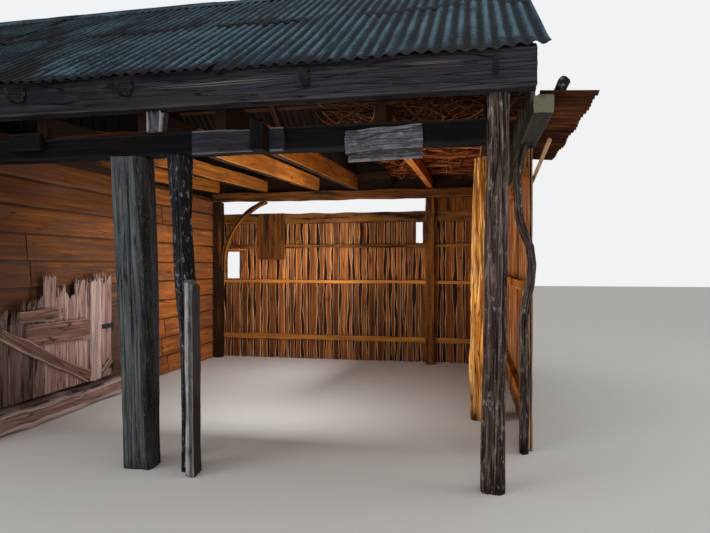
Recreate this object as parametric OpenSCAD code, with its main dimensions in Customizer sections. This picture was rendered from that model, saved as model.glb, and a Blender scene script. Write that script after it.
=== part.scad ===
// Open-fronted timber field shelter with a closed store bay beside it, under one pitched roof of
// corrugated sheets. Millimetres. Origin: middle of the plan, at ground level. +X runs right along
// the open front, +Y runs to the back and +Z is up.

/* [Roof] */
// Overall length, from the left verge to the outer edge of the side strip
total_len = 6580; // [5600:10:8000]
// Half of the roof's depth on plan, from the ridge line to an eave
eave_run = 2160; // [1900:10:2600]
// Pitch of both roof slopes, in degrees
pitch = 33; // [25:1:40]
// Height of the sheets' lower face at the eave
eave_z = 2310; // [2200:5:2500]
// Depth of the sheets' corrugation
sheet_t = 20; // [14:1:30]
// Width of each wing of the ridge cap, on plan
cap_w = 150; // [100:5:220]
// Thickness of the ridge cap
cap_t = 6; // [3:1:12]
// Purlin size, square
purlin_s = 50; // [40:5:70]
// Rafter depth
rafter_d = 100; // [75:5:140]
// Rafter thickness
rafter_t = 50; // [38:1:75]
// Ridge board thickness
ridge_t = 32; // [25:1:50]
// Ridge board depth
ridge_d = 170; // [120:5:220]
// Distance of the purlins' ends from the verges
purlin_end = 15; // [0:5:60]
// Distances up the slope from the eave to the lowest purlin, and from the ridge down to the highest
purlin_first = [700, 150];

/* [Frame] */
// Clear width from the inner wall's face to the middle of the corner post
bay_w = 3470; // [3000:10:4200]
// Distance from the right verge back to the middle of the corner post
corner_in = 270; // [240:5:340]
// Distance from the eave in to the posts' centre line
post_in = 170; // [160:5:220]
// Length of sheet that hangs past the eave beam
sheet_over = 45; // [35:1:70]
// Distance of the eave beams' ends from the verges
beam_end_in = 60; // [0:5:100]
// Eave beam thickness
eave_beam_t = 100; // [60:5:120]
// Height of the eave beam's lower edge
eave_beam_z = 2135; // [2100:5:2180]
// Height of the front beam's lower face
front_beam_z = 1870; // [1800:5:1920]
// Height of the front beam
front_beam_h = 135; // [100:5:160]
// Thickness of the front beam and the rear plate
plate_t = 120; // [100:5:150]
// Height of the rear plate's lower face
rear_plate_z = 2045; // [2000:5:2060]
// Height of the rear plate
rear_plate_h = 120; // [90:5:150]
// Squared rear post size
post_s = 110; // [90:5:118]
// Distance from the inner wall's face to the second rear post
rear_post_at = 2790; // [2700:10:2850]
// Small gap left where a beam is housed in a rough post
fit_gap = 0.3; // [0.1:0.1:1]

/* [Ceiling joists] */
// Distance of the first joists' middles from the inner wall's face
joist_at = [35, 700, 1400, 1900];
// Distance of the last joists' middles from the corner post's middle line
joist_back = [620, 20];
// Thickness of each joist
joist_t = [70, 75, 70, 70, 60, 70];
// Depth of each joist
joist_d = [150, 150, 170, 185, 120, 120];
// Space left between the joists' rear ends and the rear eave beam
joist_end = 15; // [5:1:40]
// Radius of the poles laid over the joists
pole_r = 20; // [12:1:30]
// Each pole's distance from the ridge line, and its length
brush_at = [[-1350, 1030], [-820, 900], [-330, 1040], [260, 960], [900, 1000]];
// How far the poles reach past the left one of the two joists that carry them
brush_over = 250; // [100:10:320]

/* [Posts] */
// Half width of the big weathered post, across its flats
big_post_r = 92; // [80:1:110]
// Big post: depth from front to back as a share of its width
big_post_deep = 0.86; // [0.7:0.01:1.1]
// Distance from the inner wall's face to the big post's middle
big_post_at = 1350; // [1200:5:1420]
// Half width of the thin dark post, across its flats
thin_post_r = 36; // [30:1:42]
// Thin post: depth from front to back as a share of its width
thin_post_deep = 1.7; // [1.5:0.01:1.8]
// Distance from the inner wall's face to the thin post's middle
thin_post_at = 1663; // [1630:1:1760]
// Width of the squared short post in front
short_post_w = 56; // [45:1:75]
// Depth of the short post from front to back
short_post_d = 105; // [85:1:125]
// Height of the short post
short_post_h = 1145; // [900:5:1400]
// How far the short post's left face stands right of the thin post's middle
short_post_side = 62; // [50:1:64]
// How far the short post's front face stands before the front beam's face
short_post_out = 80; // [60:5:100]
// Half width of the corner post
corner_post_r = 64; // [50:1:80]
// Half width of the bark-covered post
bark_post_r = 100; // [70:1:120]
// Distance from the posts' centre line back to the bark-covered post
bark_post_in = 1490; // [1300:5:1600]
// Half width of the crooked side trunk
side_trunk_r = 29; // [22:1:36]
// Distance from the posts' centre line back to the side trunk
side_trunk_in = 690; // [600:5:800]
// Bends of the side trunk: how far out of the side wall's inner face, and at what share of its height
side_trunk_bends = [[-30, 0], [-30, 0.42], [-8, 0.5], [15, 0.55], [22, 0.61], [6, 0.67], [-28, 0.71],
    [-60, 0.76], [-76, 0.89], [-36, 1]];

/* [Pieces on the front beam] */
// Large block: distance from the inner wall's face, and height from the beam's lower face
block_at = [2147, -15];
// Large block: width, thickness and height
block_size = [78, 110, 175];
// Small block: distance from the inner wall's face, and height from the beam's lower face
small_block_at = [525, 55];
// Small block: width, thickness and height
small_block_size = [225, 40, 105];
// Facing board: distance from the inner wall's face
facing_at = 1750; // [1700:5:1850]
// Facing board: length, and how far it hangs below the beam
facing_size = [560, 5];
// Nailed boards: distance from the inner wall's face, and how far they hang below the beam
nailed_at = [2665, 85];
// Nailed boards: length, height, and height of the split in them
nailed_size = [430, 183, 50];
// Tilt of the nailed boards, in degrees
nailed_tilt = 1.6; // [0:0.1:3]
// Stub post: distance from the inner wall's face
stub_at = 1440; // [1400:5:1500]
// Stub post: width, thickness, and how far it stands before the beam
stub_size = [120, 75, 20];
// Gutter irons: distance of the first three from the inner wall's face
iron_at = [645, 1367, 2450];
// Gutter irons: distance of the last one from the open bay's right side
iron_end = 15; // [0:5:60]
// Gutter irons: width, lowest point above the beam's lower edge, and height of the strap on the beam
iron_size = [26, 55, 78];
// Gutter irons: outer radius of the half-round arm
iron_arm_r = 72; // [50:1:80]

/* [Walls] */
// Wall thickness, boards and studs together
wall_t = 100; // [80:5:130]
// Height of one lapped board's exposed face
board_h = 209.5; // [150:0.5:260]
// How far each lapped board's lower edge stands out
lap = 18; // [8:1:30]
// Roof overhang past the store's end wall
verge_over = 240; // [150:5:350]
// Thickness of plain boards and slabs
slab_t = 25; // [18:1:40]
// Thickness of the waney slabs on the right side
side_slab_t = 30; // [20:1:40]
// Size of the rails that carry upright boards, outwards
rail_t = 40; // [30:1:50]
// Doorway width in the store's end wall
door_w = 800; // [600:10:1000]
// Doorway height in the store's end wall
door_h = 1780; // [1600:10:1950]
// Thickness of the store's door
door_t = 30; // [20:1:35]
// How far the door lies in from the end wall's inside face
door_set = 40; // [20:1:45]
// Height of the door's ledges
door_ledge_h = 110; // [80:5:150]
// How far the store's long walls lie in from the posts' centre line
store_set = 20; // [0:1:40]
// Top of the back wall's top rail
back_top = 1895; // [1700:5:1950]
// Lower face of each back wall rail below the top one
back_rail_z = [250, 985, 1440];
// Height of each back wall rail below the top one
back_rail_h = [70, 45, 45];
// Height of the back wall's top rail
top_rail_h = 140; // [100:5:180]
// How far the back boards' tops lie below the top rail's
back_board_low = 15; // [0:1:30]
// Gap in the back boards: distance from the inner wall's face, width, lower edge and height
gap_size = [130, 175, 1045, 350];
// Slot in the back boards: distance from the inner wall's face, width and lower edge
slot_size = [2660, 85, 1500];
// Wide board inside the back wall: distance from the inner wall's face, width and lower edge
patch_size = [600, 355, 1290];
// Thickness of the wide board inside the back wall
patch_t = 22; // [15:1:30]
// Thickness of the rails on the right side
side_rail_t = 50; // [30:1:60]
// Height of each rail on the right side
side_rail_h = 70; // [50:5:100]
// Lower face of each rail on the right side
side_rail_z = [280, 1050, 1790];

/* [Knee brace] */
// How far the brace reaches along the rear plate
brace_run = 530; // [400:10:650]
// How far the brace reaches down the rear post
brace_drop = 890; // [750:10:1000]
// Radius of the brace's outer edge
brace_r = 900; // [850:10:1200]
// Width of the brace
brace_w = 58; // [45:1:80]
// Thickness of the brace
brace_t = 70; // [50:5:90]

/* [Side strip] */
// Side plate width
side_plate_w = 100; // [80:5:120]
// Side plate height
side_plate_h = 95; // [70:5:120]
// Height of the side plate's lower face
side_plate_z = 2000; // [1950:5:2020]
// How far the side plate's inner face lies in from the side wall's outer face
side_plate_in = 80; // [60:5:95]
// How far the side plate runs past the posts' centre line
side_plate_ahead = 100; // [60:5:120]
// Length of the sheet strip along the side
strip_len = 1900; // [1200:10:3000]
// How far the strip's inner edge lies in on the side plate
strip_in = 30; // [10:1:60]
// How far the strip reaches past the verge
strip_reach = 250; // [150:5:350]
// Fall of the strip, in degrees
strip_fall = 4; // [1:0.5:15]
// Radius of the log that holds the strip down
side_log_r = 31; // [20:1:45]
// Distance of that log's middle from the side plate
side_log_out = 44; // [30:1:80]
// How far the log reaches past the strip's front end, and past its rear end
side_log_over = [35, 55];
// Radius of the slim pole on the side wall's face
side_pole_r = 12; // [8:1:20]
// Length of the slim pole
side_pole_len = 1490; // [1000:10:2000]
// Height of the slim pole's front end
side_pole_z = 1880; // [1800:5:1930]
// Fall of the slim pole towards the back, in degrees
side_pole_fall = 5.9; // [0:0.1:9]

/* [Half gate] */
// Length of the gate leaf
gate_len = 1370; // [1200:10:1450]
// Distance from the front beam's back face to the hinge
hinge_back = 1580; // [1550:10:1700]
// Distance of the hinge pins from the wall's face
hinge_out = 62; // [55:1:90]
// Thickness of the gate's boards
gate_board_t = 24; // [18:1:30]
// Thickness of the gate's ledges, brace and stile
gate_ledge_t = 28; // [20:1:35]
// Height of the sill log under the gate
sill_h = 190; // [120:5:240]
// Width of the sill log
sill_w = 135; // [100:5:180]
// How far the sill log runs past each end of the leaf
sill_over = 65; // [30:5:100]
// Gap between the sill log and the gate
gate_gap = 12; // [8:1:30]
// Radius of the hinge pins
pin_r = 6; // [5:0.5:9]
// Running clearance of the strap's eye around its pin
pin_clear = 0.08; // [0.02:0.01:0.1]
// Thickness of the iron straps and plates
iron_t = 6; // [4:1:8]
// Length of the straps
strap_len = 165; // [140:5:250]
// Height of the straps
strap_h = 40; // [30:1:50]
// Height of each strap above the leaf's lower edge
hinge_z = [70, 440];
// Length and height of the plates that carry the hinge pins
pin_plate = [50, 130];
// Height of the ledge's lower edge at the stile
ledge_z = 364; // [300:1:420]
// Height of the ledge
ledge_h = 195; // [120:5:220]
// Length of the ledge
ledge_len = 740; // [600:10:900]
// How much higher the ledge is at its far end
ledge_rise = 18; // [0:1:40]
// Stile: distance of its far edge from the hinge, its width and its height
stile_size = [355, 150, 925];
// Brace: its width measured upright, its slope, and the height of its upper edge at the stile
brace_size = [125, 0.51, 95];
// Odd board over the ledge: distance past the stile, length, and height at its two ends
odd_board = [390, 420, 92, 115];
// Board top heights above the leaf's lower edge, from the free end to the hinge
gate_tops = [728, 708, 783, 828, 953, 888, 828, 938, 928, 968, 978];

/* [Hidden] */

half_len = total_len / 2;
verge_l = -half_len;
verge_r = half_len - strip_reach;
corner_x = verge_r - corner_in;
wall_x = corner_x - bay_w;
store_x = verge_l + verge_over;
post_y = eave_run - post_in;
eave_beam_y = eave_run - sheet_over;
eave_beam_in = eave_beam_y - eave_beam_t;
plate_out = post_y + plate_t / 2;
plate_in = post_y - plate_t / 2;
side_out = verge_r;
slope_len = eave_run / cos(pitch);
joist_top_front = front_beam_z + front_beam_h;
rear_plate_top = rear_plate_z + rear_plate_h;
joist_slope = atan((rear_plate_top - joist_top_front) / (plate_in + eave_beam_in - fit_gap));
wall_top = side_plate_z + side_plate_h;
hinge_y = -plate_in + hinge_back;
hinge_x = wall_x + hinge_out;
gate_z = sill_h + gate_gap;
purlin_drop = purlin_s / cos(pitch);
side_plate_x = side_out - side_plate_in;
side_wall_in = side_out - side_slab_t;
bend_x = side_plate_x + side_plate_w;
store_in = post_y - store_set;
strip_front = -post_y - side_plate_ahead + 5;

// Height of the sheets' lower face above a point y from the ridge line
function sheet_z(y) = eave_z + (eave_run - abs(y)) * tan(pitch);

// Middle of a ceiling joist: the first ones are set out from the inner wall, the last from the corner post
function joist_x(i) = i < len(joist_at) ? wall_x + joist_at[i] : corner_x - joist_back[i - len(joist_at)];

// Middle line of a rough log: each bend has its offsets along X and Y, and its share of the height
function log_line(x, y, height, bends) = [for (b = bends) [x + b[0], y + b[1], height * b[2]]];

// Reach of a hewn post's outline at an angle, a square with well-rounded corners, 1 at its flats
function hewn(a) = pow(pow(cos(a), 4) + pow(sin(a), 4), -0.25);

// Ring of a rough log: n points around a centre, each a little off the true circle or square
function log_ring(c, r, n, seed, squared, deep) = [for (i = [0:n - 1])
    let (a = 360 * i / n, uneven = squared ? 0.4 : 1, shape = squared ? hewn(a) : 1,
        w = r * (shape + uneven * (0.06 * sin(3 * a + 70 * seed) + 0.04 * sin(5 * a + 130 * seed))))
    [c[0] + w * cos(a), c[1] + w * sin(a) * deep, c[2]]];

// Rough upright log through a list of centres, with flat level ends
module upright_log(centres, radii, sides, seed, squared = false, deep = 1) {
    rings = len(centres);
    points = [for (k = [0:rings - 1]) each
        log_ring(centres[k], radii[k], sides, seed, squared, deep)];
    sheets = [for (k = [0:rings - 2], i = [0:sides - 1])
        let (a = k * sides + i, b = k * sides + (i + 1) % sides)
        each [[a, b + sides, b], [a, a + sides, b + sides]]];
    foot = [for (i = [1:sides - 2]) [0, i, i + 1]];
    last = (rings - 1) * sides;
    top = [for (i = [1:sides - 2]) [last, last + i + 1, last + i]];
    polyhedron(points, concat(sheets, foot, top), convexity = 4);
}

// Profile in the Y-Z plane, drawn out along X from x0 to x1
module along_x(x0, x1) {
    translate([x0, 0, 0]) rotate([90, 0, 90]) linear_extrude(x1 - x0) children();
}

// Profile in the X-Z plane, drawn out along Y from y0 to y1
module along_y(y0, y1) {
    translate([0, y1, 0]) rotate([90, 0, 0]) linear_extrude(y1 - y0) children();
}

// Puts children in the frame of a slope: X along the eave, Y up the slope, Z out of the roof
module on_slope(rear = false) {
    mirror([0, rear ? 1 : 0, 0]) translate([0, -eave_run, eave_z]) rotate([pitch, 0, 0]) children();
}

// Keeps what lies between the ridge line and a distance from it, on one side
module half_depth(rear, near, far) {
    intersection() {
        children();
        mirror([0, rear ? 1 : 0, 0]) translate([verge_l, -far, 0])
            cube([total_len, far - near, eave_z * 2]);
    }
}

module slope_sheets(rear) {
    half_depth(rear, 0, eave_run + sheet_t) on_slope(rear)
        translate([verge_l, 0, 0]) cube([verge_r - verge_l, slope_len + sheet_t, sheet_t]);
}

module front_sheets() { color("darkslategray") slope_sheets(false); }

module rear_sheets() { color("darkslategray") slope_sheets(true); }

module ridge_cap() {
    rise = sheet_t / cos(pitch);
    wing = sheet_z(cap_w) + rise;
    peak = sheet_z(0) + rise;
    color("slategray") along_x(verge_l, verge_r) polygon([
        [-cap_w, wing], [0, peak], [cap_w, wing], [cap_w, wing + cap_t], [0, peak + cap_t],
        [-cap_w, wing + cap_t]]);
}

// Height of the ridge board's lower edge: its top meets the undersides of the purlins' plane
ridge_z = sheet_z(ridge_t / 2) - purlin_drop - ridge_d;

module ridge_board() {
    color("saddlebrown") translate([store_x, -ridge_t / 2, ridge_z])
        cube([side_out - store_x, ridge_t, ridge_d]);
}

// Middle of each rafter pair, the outer ones just inside the gables' boards
gable_off = rafter_t / 2 + fit_gap;
rafter_x = [store_x + slab_t + gable_off, (store_x + wall_x) / 2, wall_x - slab_t - gable_off,
    wall_x + bay_w * 0.34, wall_x + bay_w * 0.69, side_plate_x - gable_off];

module rafters() {
    color("peru") for (rear = [false, true]) half_depth(rear, ridge_t / 2, eave_beam_in)
        on_slope(rear) for (x = rafter_x)
            translate([x - rafter_t / 2, 0, -purlin_s - rafter_d]) cube([rafter_t, slope_len, rafter_d]);
}

// Purlins up each slope, as distances from the eave edge
purlin_at = [for (i = [0:3]) purlin_first[0] + i * (slope_len - purlin_first[0] - purlin_first[1]) / 3];

module purlins() {
    color("sienna") for (rear = [false, true], s = purlin_at) on_slope(rear)
        translate([verge_l + purlin_end, s, -purlin_s])
            cube([verge_r - verge_l - 2 * purlin_end, purlin_s, purlin_s]);
}

// Timber under an eave, bevelled on top to carry the sheets, with its lower edge at height z
module eave_beam(z) {
    along_x(verge_l + beam_end_in, verge_r - beam_end_in) polygon([
        [-eave_beam_y, z], [-eave_beam_in, z],
        [-eave_beam_in, sheet_z(eave_beam_in)], [-eave_beam_y, sheet_z(eave_beam_y)]]);
}

module eave_beam_front() { color("dimgray") eave_beam(eave_beam_z); }

module eave_beam_rear() { color("dimgray") mirror([0, 1, 0]) eave_beam(rear_plate_top); }

// Face of the corner post that the front beam is housed in
beam_end_x = corner_x - corner_post_r * 0.7;

module front_beam() {
    color("saddlebrown") translate([wall_x - wall_t, -plate_out, front_beam_z])
        cube([beam_end_x - wall_x + wall_t, plate_t, front_beam_h]);
}

// Puts children on the front beam: along from the inner wall, out from the face, up from below
module on_beam(along, out, up) {
    translate([wall_x + along, -plate_out - out, front_beam_z + up]) children();
}

// Short blocks nailed on the face of the front beam, the large one over the facing board
module beam_blocks() {
    color("slategray") {
        on_beam(block_at[0], slab_t + block_size[1], block_at[1]) cube(block_size);
        on_beam(small_block_at[0], small_block_size[1], small_block_at[1]) cube(small_block_size);
    }
}

module facing_board() {
    color("gray") on_beam(facing_at, slab_t, -facing_size[1])
        cube([facing_size[0], slab_t, front_beam_h]);
}

// Pair of grey boards nailed low on the beam, tilted a little, with a split between them
module nailed_boards() {
    split = 3;
    left = nailed_size[0] * 0.05;
    color("silver") on_beam(nailed_at[0], slab_t, -nailed_at[1]) rotate([0, -nailed_tilt, 0])
        difference() {
            cube([nailed_size[0], slab_t, nailed_size[1]]);
            translate([left, -1, nailed_size[2]]) cube([nailed_size[0], slab_t + 2, split]);
        }
}

module stub_post() {
    color("lightgray") on_beam(stub_at, stub_size[2], front_beam_h)
        cube([stub_size[0], stub_size[1], eave_beam_z - front_beam_z - front_beam_h]);
}

// Iron straps on the faces of both eave beams, left from old gutters
module eave_irons() {
    r = iron_arm_r;
    middle = [-eave_beam_y - r, eave_beam_z + iron_size[1] + r];
    color("black") for (x = concat(iron_at, bay_w - iron_end), side = [0, 1]) mirror([0, side, 0])
        along_x(wall_x + x, wall_x + x + iron_size[0]) {
            translate([-eave_beam_y - iron_t, middle[1] + iron_t - iron_size[2] / 2])
                square([iron_t, iron_size[2]]);
            intersection() {
                translate(middle) difference() {
                    circle(r, $fn = 48);
                    circle(r - iron_t, $fn = 48);
                }
                translate(middle - [r, r]) square([2 * r, r]);
            }
        }
}

module big_post() {
    centres = log_line(wall_x + big_post_at, -post_y, front_beam_z,
        [[42, 0, 0], [25, 0, 0.4], [4, 0, 0.7], [-28, 0, 1]]);
    color("darkseagreen") upright_log(centres, [for (k = [0.98, 1.03, 1.02, 0.99]) big_post_r * k],
        16, 2, squared = true, deep = big_post_deep);
}

// Corner of the short post, which stands against the thin post's front right side
short_post_at = [wall_x + thin_post_at + short_post_side, -plate_out - short_post_out, 0];

module thin_post() {
    centres = log_line(wall_x + thin_post_at, -post_y, front_beam_z,
        [[35, 0, 0], [27, 0, 0.43], [-1, 0, 0.6], [-25, 0, 0.8], [-33, 0, 1]]);
    color("dimgray") difference() {
        upright_log(centres, [for (k = [1, 1, 0.84, 0.86, 1.28]) thin_post_r * k], 16, 5,
            squared = true, deep = thin_post_deep);
        translate(short_post_at - [0, 0, 1]) cube([short_post_w, short_post_d, short_post_h + 1]);
    }
}

module short_post() {
    chamfer = short_post_w / 6;
    color("lightslategray") translate(short_post_at) linear_extrude(short_post_h) polygon([
        [0, 0], [short_post_w - chamfer, 0], [short_post_w, chamfer], [short_post_w, short_post_d],
        [0, short_post_d]]);
}

module corner_post() {
    centres = log_line(corner_x, -post_y, eave_beam_z,
        [[-14, 0, 0], [-4, -6, 0.33], [4, 4, 0.63], [10, 0, 0.85], [6, 0, 1]]);
    color("darkslategray") difference() {
        upright_log(centres, [for (k = [1.05, 0.95, 1, 1.02, 1]) corner_post_r * k], 9, 3);
        translate([corner_x - 2 * corner_post_r, -plate_out - fit_gap, front_beam_z - fit_gap])
            cube([2 * corner_post_r + beam_end_x - corner_x + fit_gap, plate_t + 2 * fit_gap,
                front_beam_h + 2 * fit_gap]);
    }
}

// Height of the joists' lower faces at a depth y
function joist_z(y) = joist_top_front + (y + eave_beam_in) * tan(joist_slope);

bark_post_y = -post_y + bark_post_in;

module bark_post() {
    centres = log_line(joist_x(len(joist_at) + 1), bark_post_y, joist_z(bark_post_y - bark_post_r * 1.1),
        [[12, 0, 0], [-8, 0, 0.25], [10, 0, 0.55], [0, 0, 0.8], [0, 0, 1]]);
    radii = [for (k = [1.08, 1, 1.05, 0.95, 0.95]) bark_post_r * k];
    color("chocolate") upright_log(centres, radii, 12, 4);
}

side_trunk_y = -post_y + side_trunk_in;
side_front_y = side_trunk_y + side_trunk_r * 1.3;

module side_trunk() {
    centres = log_line(side_wall_in, side_trunk_y, side_plate_z,
        [for (b = side_trunk_bends) [b[0], 0, b[1]]]);
    radii = [for (b = side_trunk_bends) side_trunk_r * (1.08 - 0.16 * b[1])];
    color("dimgray") upright_log(centres, radii, 9, 6);
}

module side_plate() {
    color("tan") translate([side_plate_x, -post_y - side_plate_ahead, side_plate_z])
        cube([side_plate_w, post_y + side_plate_ahead + plate_in, side_plate_h]);
}

// Height of the side strip's lower face at a distance x
function strip_z(x) = wall_top - max(0, x - bend_x) * tan(strip_fall);

// Sheet strip along the right side: flat over the plate, then falling outwards
module side_strip() {
    inner = side_plate_x + strip_in;
    edge_z = strip_z(half_len);
    color("darkslategray") along_y(strip_front, strip_front + strip_len) polygon([
        [inner, wall_top], [bend_x, wall_top], [half_len, edge_z], [half_len, edge_z + sheet_t],
        [bend_x, wall_top + sheet_t], [inner, wall_top + sheet_t]]);
}

module side_log() {
    x = bend_x + side_log_out;
    z = strip_z(x) + sheet_t + side_log_r / cos(strip_fall);
    color("saddlebrown") translate([x, strip_front - side_log_over[0], z]) rotate([-90, 0, 0])
        cylinder(h = strip_len + side_log_over[0] + side_log_over[1], r = side_log_r, $fn = 24);
}

module side_slabs() {
    color("chocolate") translate([side_wall_in, side_front_y, 0])
        cube([side_slab_t, plate_out + rail_t - side_front_y, side_plate_z]);
}

module side_rails() {
    color("peru") for (z = side_rail_z) translate([side_wall_in - side_rail_t, side_front_y, z])
        cube([side_rail_t, plate_in - side_front_y, side_rail_h]);
}

module side_pole() {
    color("burlywood") translate([side_out + side_pole_r, -post_y, side_pole_z])
        rotate([-90 - side_pole_fall, 0, 0]) cylinder(h = side_pole_len, r = side_pole_r, $fn = 16);
}

// Upright boards that close a gable above the walls, outer face at x
module gable(x) {
    top = sheet_z(plate_in) - purlin_drop;
    along_x(x - slab_t, x) polygon([
        [-plate_in, wall_top], [plate_in, wall_top], [plate_in, top],
        [ridge_t / 2, ridge_z + ridge_d], [ridge_t / 2, ridge_z], [-ridge_t / 2, ridge_z],
        [-ridge_t / 2, ridge_z + ridge_d], [-plate_in, top]]);
}

module gables() {
    color("sienna") {
        gable(side_plate_x + slab_t);
        gable(wall_x);
        gable(store_x + slab_t);
    }
}

// Wall of lapped boards on a stud frame, flat inside face on the plane 0, lapped face outwards
module lapped_profile(height) {
    rows = floor(height / board_h);
    body = wall_t - lap;
    laps = [for (i = [0:rows - 1])
        each [[body + lap, i * board_h], [body, i * board_h + board_h]]];
    polygon(concat([[0, 0]], laps, [[body, height], [0, height]]));
}

module partition_wall() {
    color("sienna") translate([wall_x - wall_t, 0, 0])
        along_y(-plate_in, store_in) lapped_profile(wall_top);
}

module store_front() {
    color("saddlebrown") mirror([0, 1, 0]) translate([0, store_in, 0])
        along_x(store_x, wall_x - wall_t) lapped_profile(eave_beam_z);
}

module store_rear() {
    color("saddlebrown") translate([0, store_in, 0])
        along_x(store_x, wall_x) lapped_profile(rear_plate_top);
}

module store_end() {
    color("saddlebrown") difference() {
        translate([store_x + wall_t, 0, 0]) mirror([1, 0, 0]) along_y(-store_in, store_in)
            lapped_profile(wall_top);
        translate([store_x - 1, -door_w / 2, -1]) cube([wall_t + 2, door_w, door_h + 1]);
    }
}

// Boarded door with three ledges outside
module store_door() {
    foot = 10;
    ledge_in = 30;
    color("sienna") translate([store_x + wall_t - door_t - door_set, 0, 0]) {
        translate([0, -door_w / 2, foot]) cube([door_t, door_w, door_h - foot]);
        for (share = [0.14, 0.483, 0.826])
            translate([-gate_ledge_t, -door_w / 2 + ledge_in, share * door_h])
                cube([gate_ledge_t, door_w - 2 * ledge_in, door_ledge_h]);
    }
}

// Squared posts: at the inner wall's front end, and along the back
module wall_posts() {
    color("saddlebrown") {
        translate([wall_x - wall_t, -plate_out, 0]) cube([wall_t, plate_t, front_beam_z]);
        for (x = [wall_x, wall_x + rear_post_at, side_wall_in - post_s])
            translate([x, plate_in, 0]) cube([post_s, plate_t, rear_plate_z]);
    }
}

module rear_plate() {
    color("peru") translate([wall_x, plate_in, rear_plate_z])
        cube([side_wall_in - wall_x, plate_t, rear_plate_h]);
}

// Curved brace from the rear left post up to the rear plate, an arc with its centre below
module knee_brace() {
    chord = norm([brace_run, brace_drop]);
    back = sqrt(brace_r * brace_r - chord * chord / 4);
    centre = [brace_run / 2 + back * brace_drop / chord, -brace_drop / 2 - back * brace_run / chord];
    outer = [for (a = [95:10:195]) centre + brace_r * [cos(a), sin(a)]];
    inner = [for (a = [195:-10:95]) centre + (brace_r - brace_w) * [cos(a), sin(a)]];
    color("peru") translate([wall_x + post_s, post_y + brace_t / 2, rear_plate_z])
        rotate([90, 0, 0]) linear_extrude(brace_t) intersection() {
            polygon(concat(outer, inner));
            translate([0, -brace_drop]) square([brace_run + 1.5 * brace_w, brace_drop]);
        }
}

module back_rails() {
    lows = concat(back_rail_z, back_top - top_rail_h);
    heights = concat(back_rail_h, top_rail_h);
    color("peru") for (i = [0:3]) translate([wall_x, plate_out, lows[i]])
        cube([side_wall_in - wall_x, rail_t, heights[i]]);
}

// Opening through the back boards, between two heights
module board_gap(along, width, low, high) {
    translate([wall_x + along, plate_out + rail_t - 1, low]) cube([width, slab_t + 2, high - low]);
}

module back_boards() {
    color("sienna") difference() {
        translate([wall_x, plate_out + rail_t, 0])
            cube([side_out - wall_x, slab_t, back_top - back_board_low]);
        board_gap(gap_size[0], gap_size[1], gap_size[2], gap_size[2] + gap_size[3]);
        board_gap(slot_size[0], slot_size[1], slot_size[2], back_top - top_rail_h);
    }
}

// Odd boards added to the back wall: one wide board inside, and a row up to the rear plate
module patch_boards() {
    color("chocolate") {
        translate([wall_x + patch_size[0], plate_out - patch_t, patch_size[2]])
            cube([patch_size[1], patch_t, back_top - patch_size[2]]);
        translate([wall_x + rear_post_at, plate_out, back_top])
            cube([side_wall_in - wall_x - rear_post_at, slab_t, rear_plate_top - back_top]);
    }
}

// Front end of each joist: the last one starts on the bark-covered post, behind the corner post
joist_front = [for (i = [0:5]) i < 5 ? -eave_beam_in + fit_gap : -post_y + corner_post_r * 1.4];

module joists() {
    color("orange") for (i = [0:5]) {
        mid = joist_x(i);
        ends = [joist_front[i], eave_beam_in - joist_end];
        low = [joist_z(ends[0]), joist_z(ends[1])];
        rise = joist_d[i] / cos(joist_slope);
        along_x(mid - joist_t[i] / 2, mid + joist_t[i] / 2) polygon([
            [ends[0], low[0]], [ends[1], low[1]], [ends[1], low[1] + rise], [ends[0], low[0] + rise]]);
    }
}

// Poles laid across the two right-hand joists
module brush_poles() {
    first = joist_x(len(joist_at)) - brush_over;
    color("peru") for (p = brush_at)
        translate([first, p[0], joist_z(p[0]) + (joist_d[4] + pole_r + 0.2) / cos(joist_slope)])
            rotate([0, 90, 0]) cylinder(h = p[1], r = pole_r, $fn = 16);
}

module sill_log() {
    color("rosybrown") translate([wall_x, hinge_y - gate_len - sill_over, 0])
        cube([sill_w, gate_len + 2 * sill_over, sill_h]);
}

// Broken boarded leaf in the Y-Z plane, its hinge line at y = 0 and its free end at y = -gate_len
module gate_boards() {
    step = (gate_len - 20) / len(gate_tops);
    outline = [for (i = [0:len(gate_tops) - 1])
        each [[-gate_len + i * step, gate_tops[i] - (i % 2 == 0 ? 22 : 5)],
            [-gate_len + (i + 0.45) * step, gate_tops[i]],
            [-gate_len + (i + 1) * step, gate_tops[i] - (i % 3 == 0 ? 30 : 12)]]];
    color("rosybrown") translate([hinge_x, hinge_y, gate_z]) along_x(-gate_board_t / 2, gate_board_t / 2)
        polygon(concat([[-20, 0], [-gate_len, 0]], outline));
}

// Ledge, odd board, brace and stile on the bay side of the gate's boards
module gate_frame() {
    stile = -stile_size[0];
    edge = stile - 4;
    far = edge - ledge_len;
    top = ledge_z + ledge_h;
    brace_end = -gate_len + 30;
    brace_top = brace_size[2] + (edge - brace_end) * brace_size[1];
    odd = [edge - odd_board[0], edge - odd_board[0] - odd_board[1]];
    odd_z = top + ledge_rise + 6;
    color("tan") translate([hinge_x + gate_board_t / 2, hinge_y, gate_z]) along_x(0, gate_ledge_t) {
        polygon([[far, ledge_z + ledge_rise], [edge, ledge_z], [edge, top], [far, top + ledge_rise]]);
        polygon([[odd[1], odd_z], [odd[0], odd_z], [odd[0], odd_z + odd_board[2]],
            [odd[1], odd_z + odd_board[3]]]);
        polygon([[brace_end, brace_top - brace_size[0]], [edge - 60, 0], [edge, 0], [edge, brace_size[2]],
            [brace_end, brace_top]]);
        translate([stile, 0]) square([stile_size[1], stile_size[2]]);
    }
}

eye_r = pin_r + iron_t;

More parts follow.
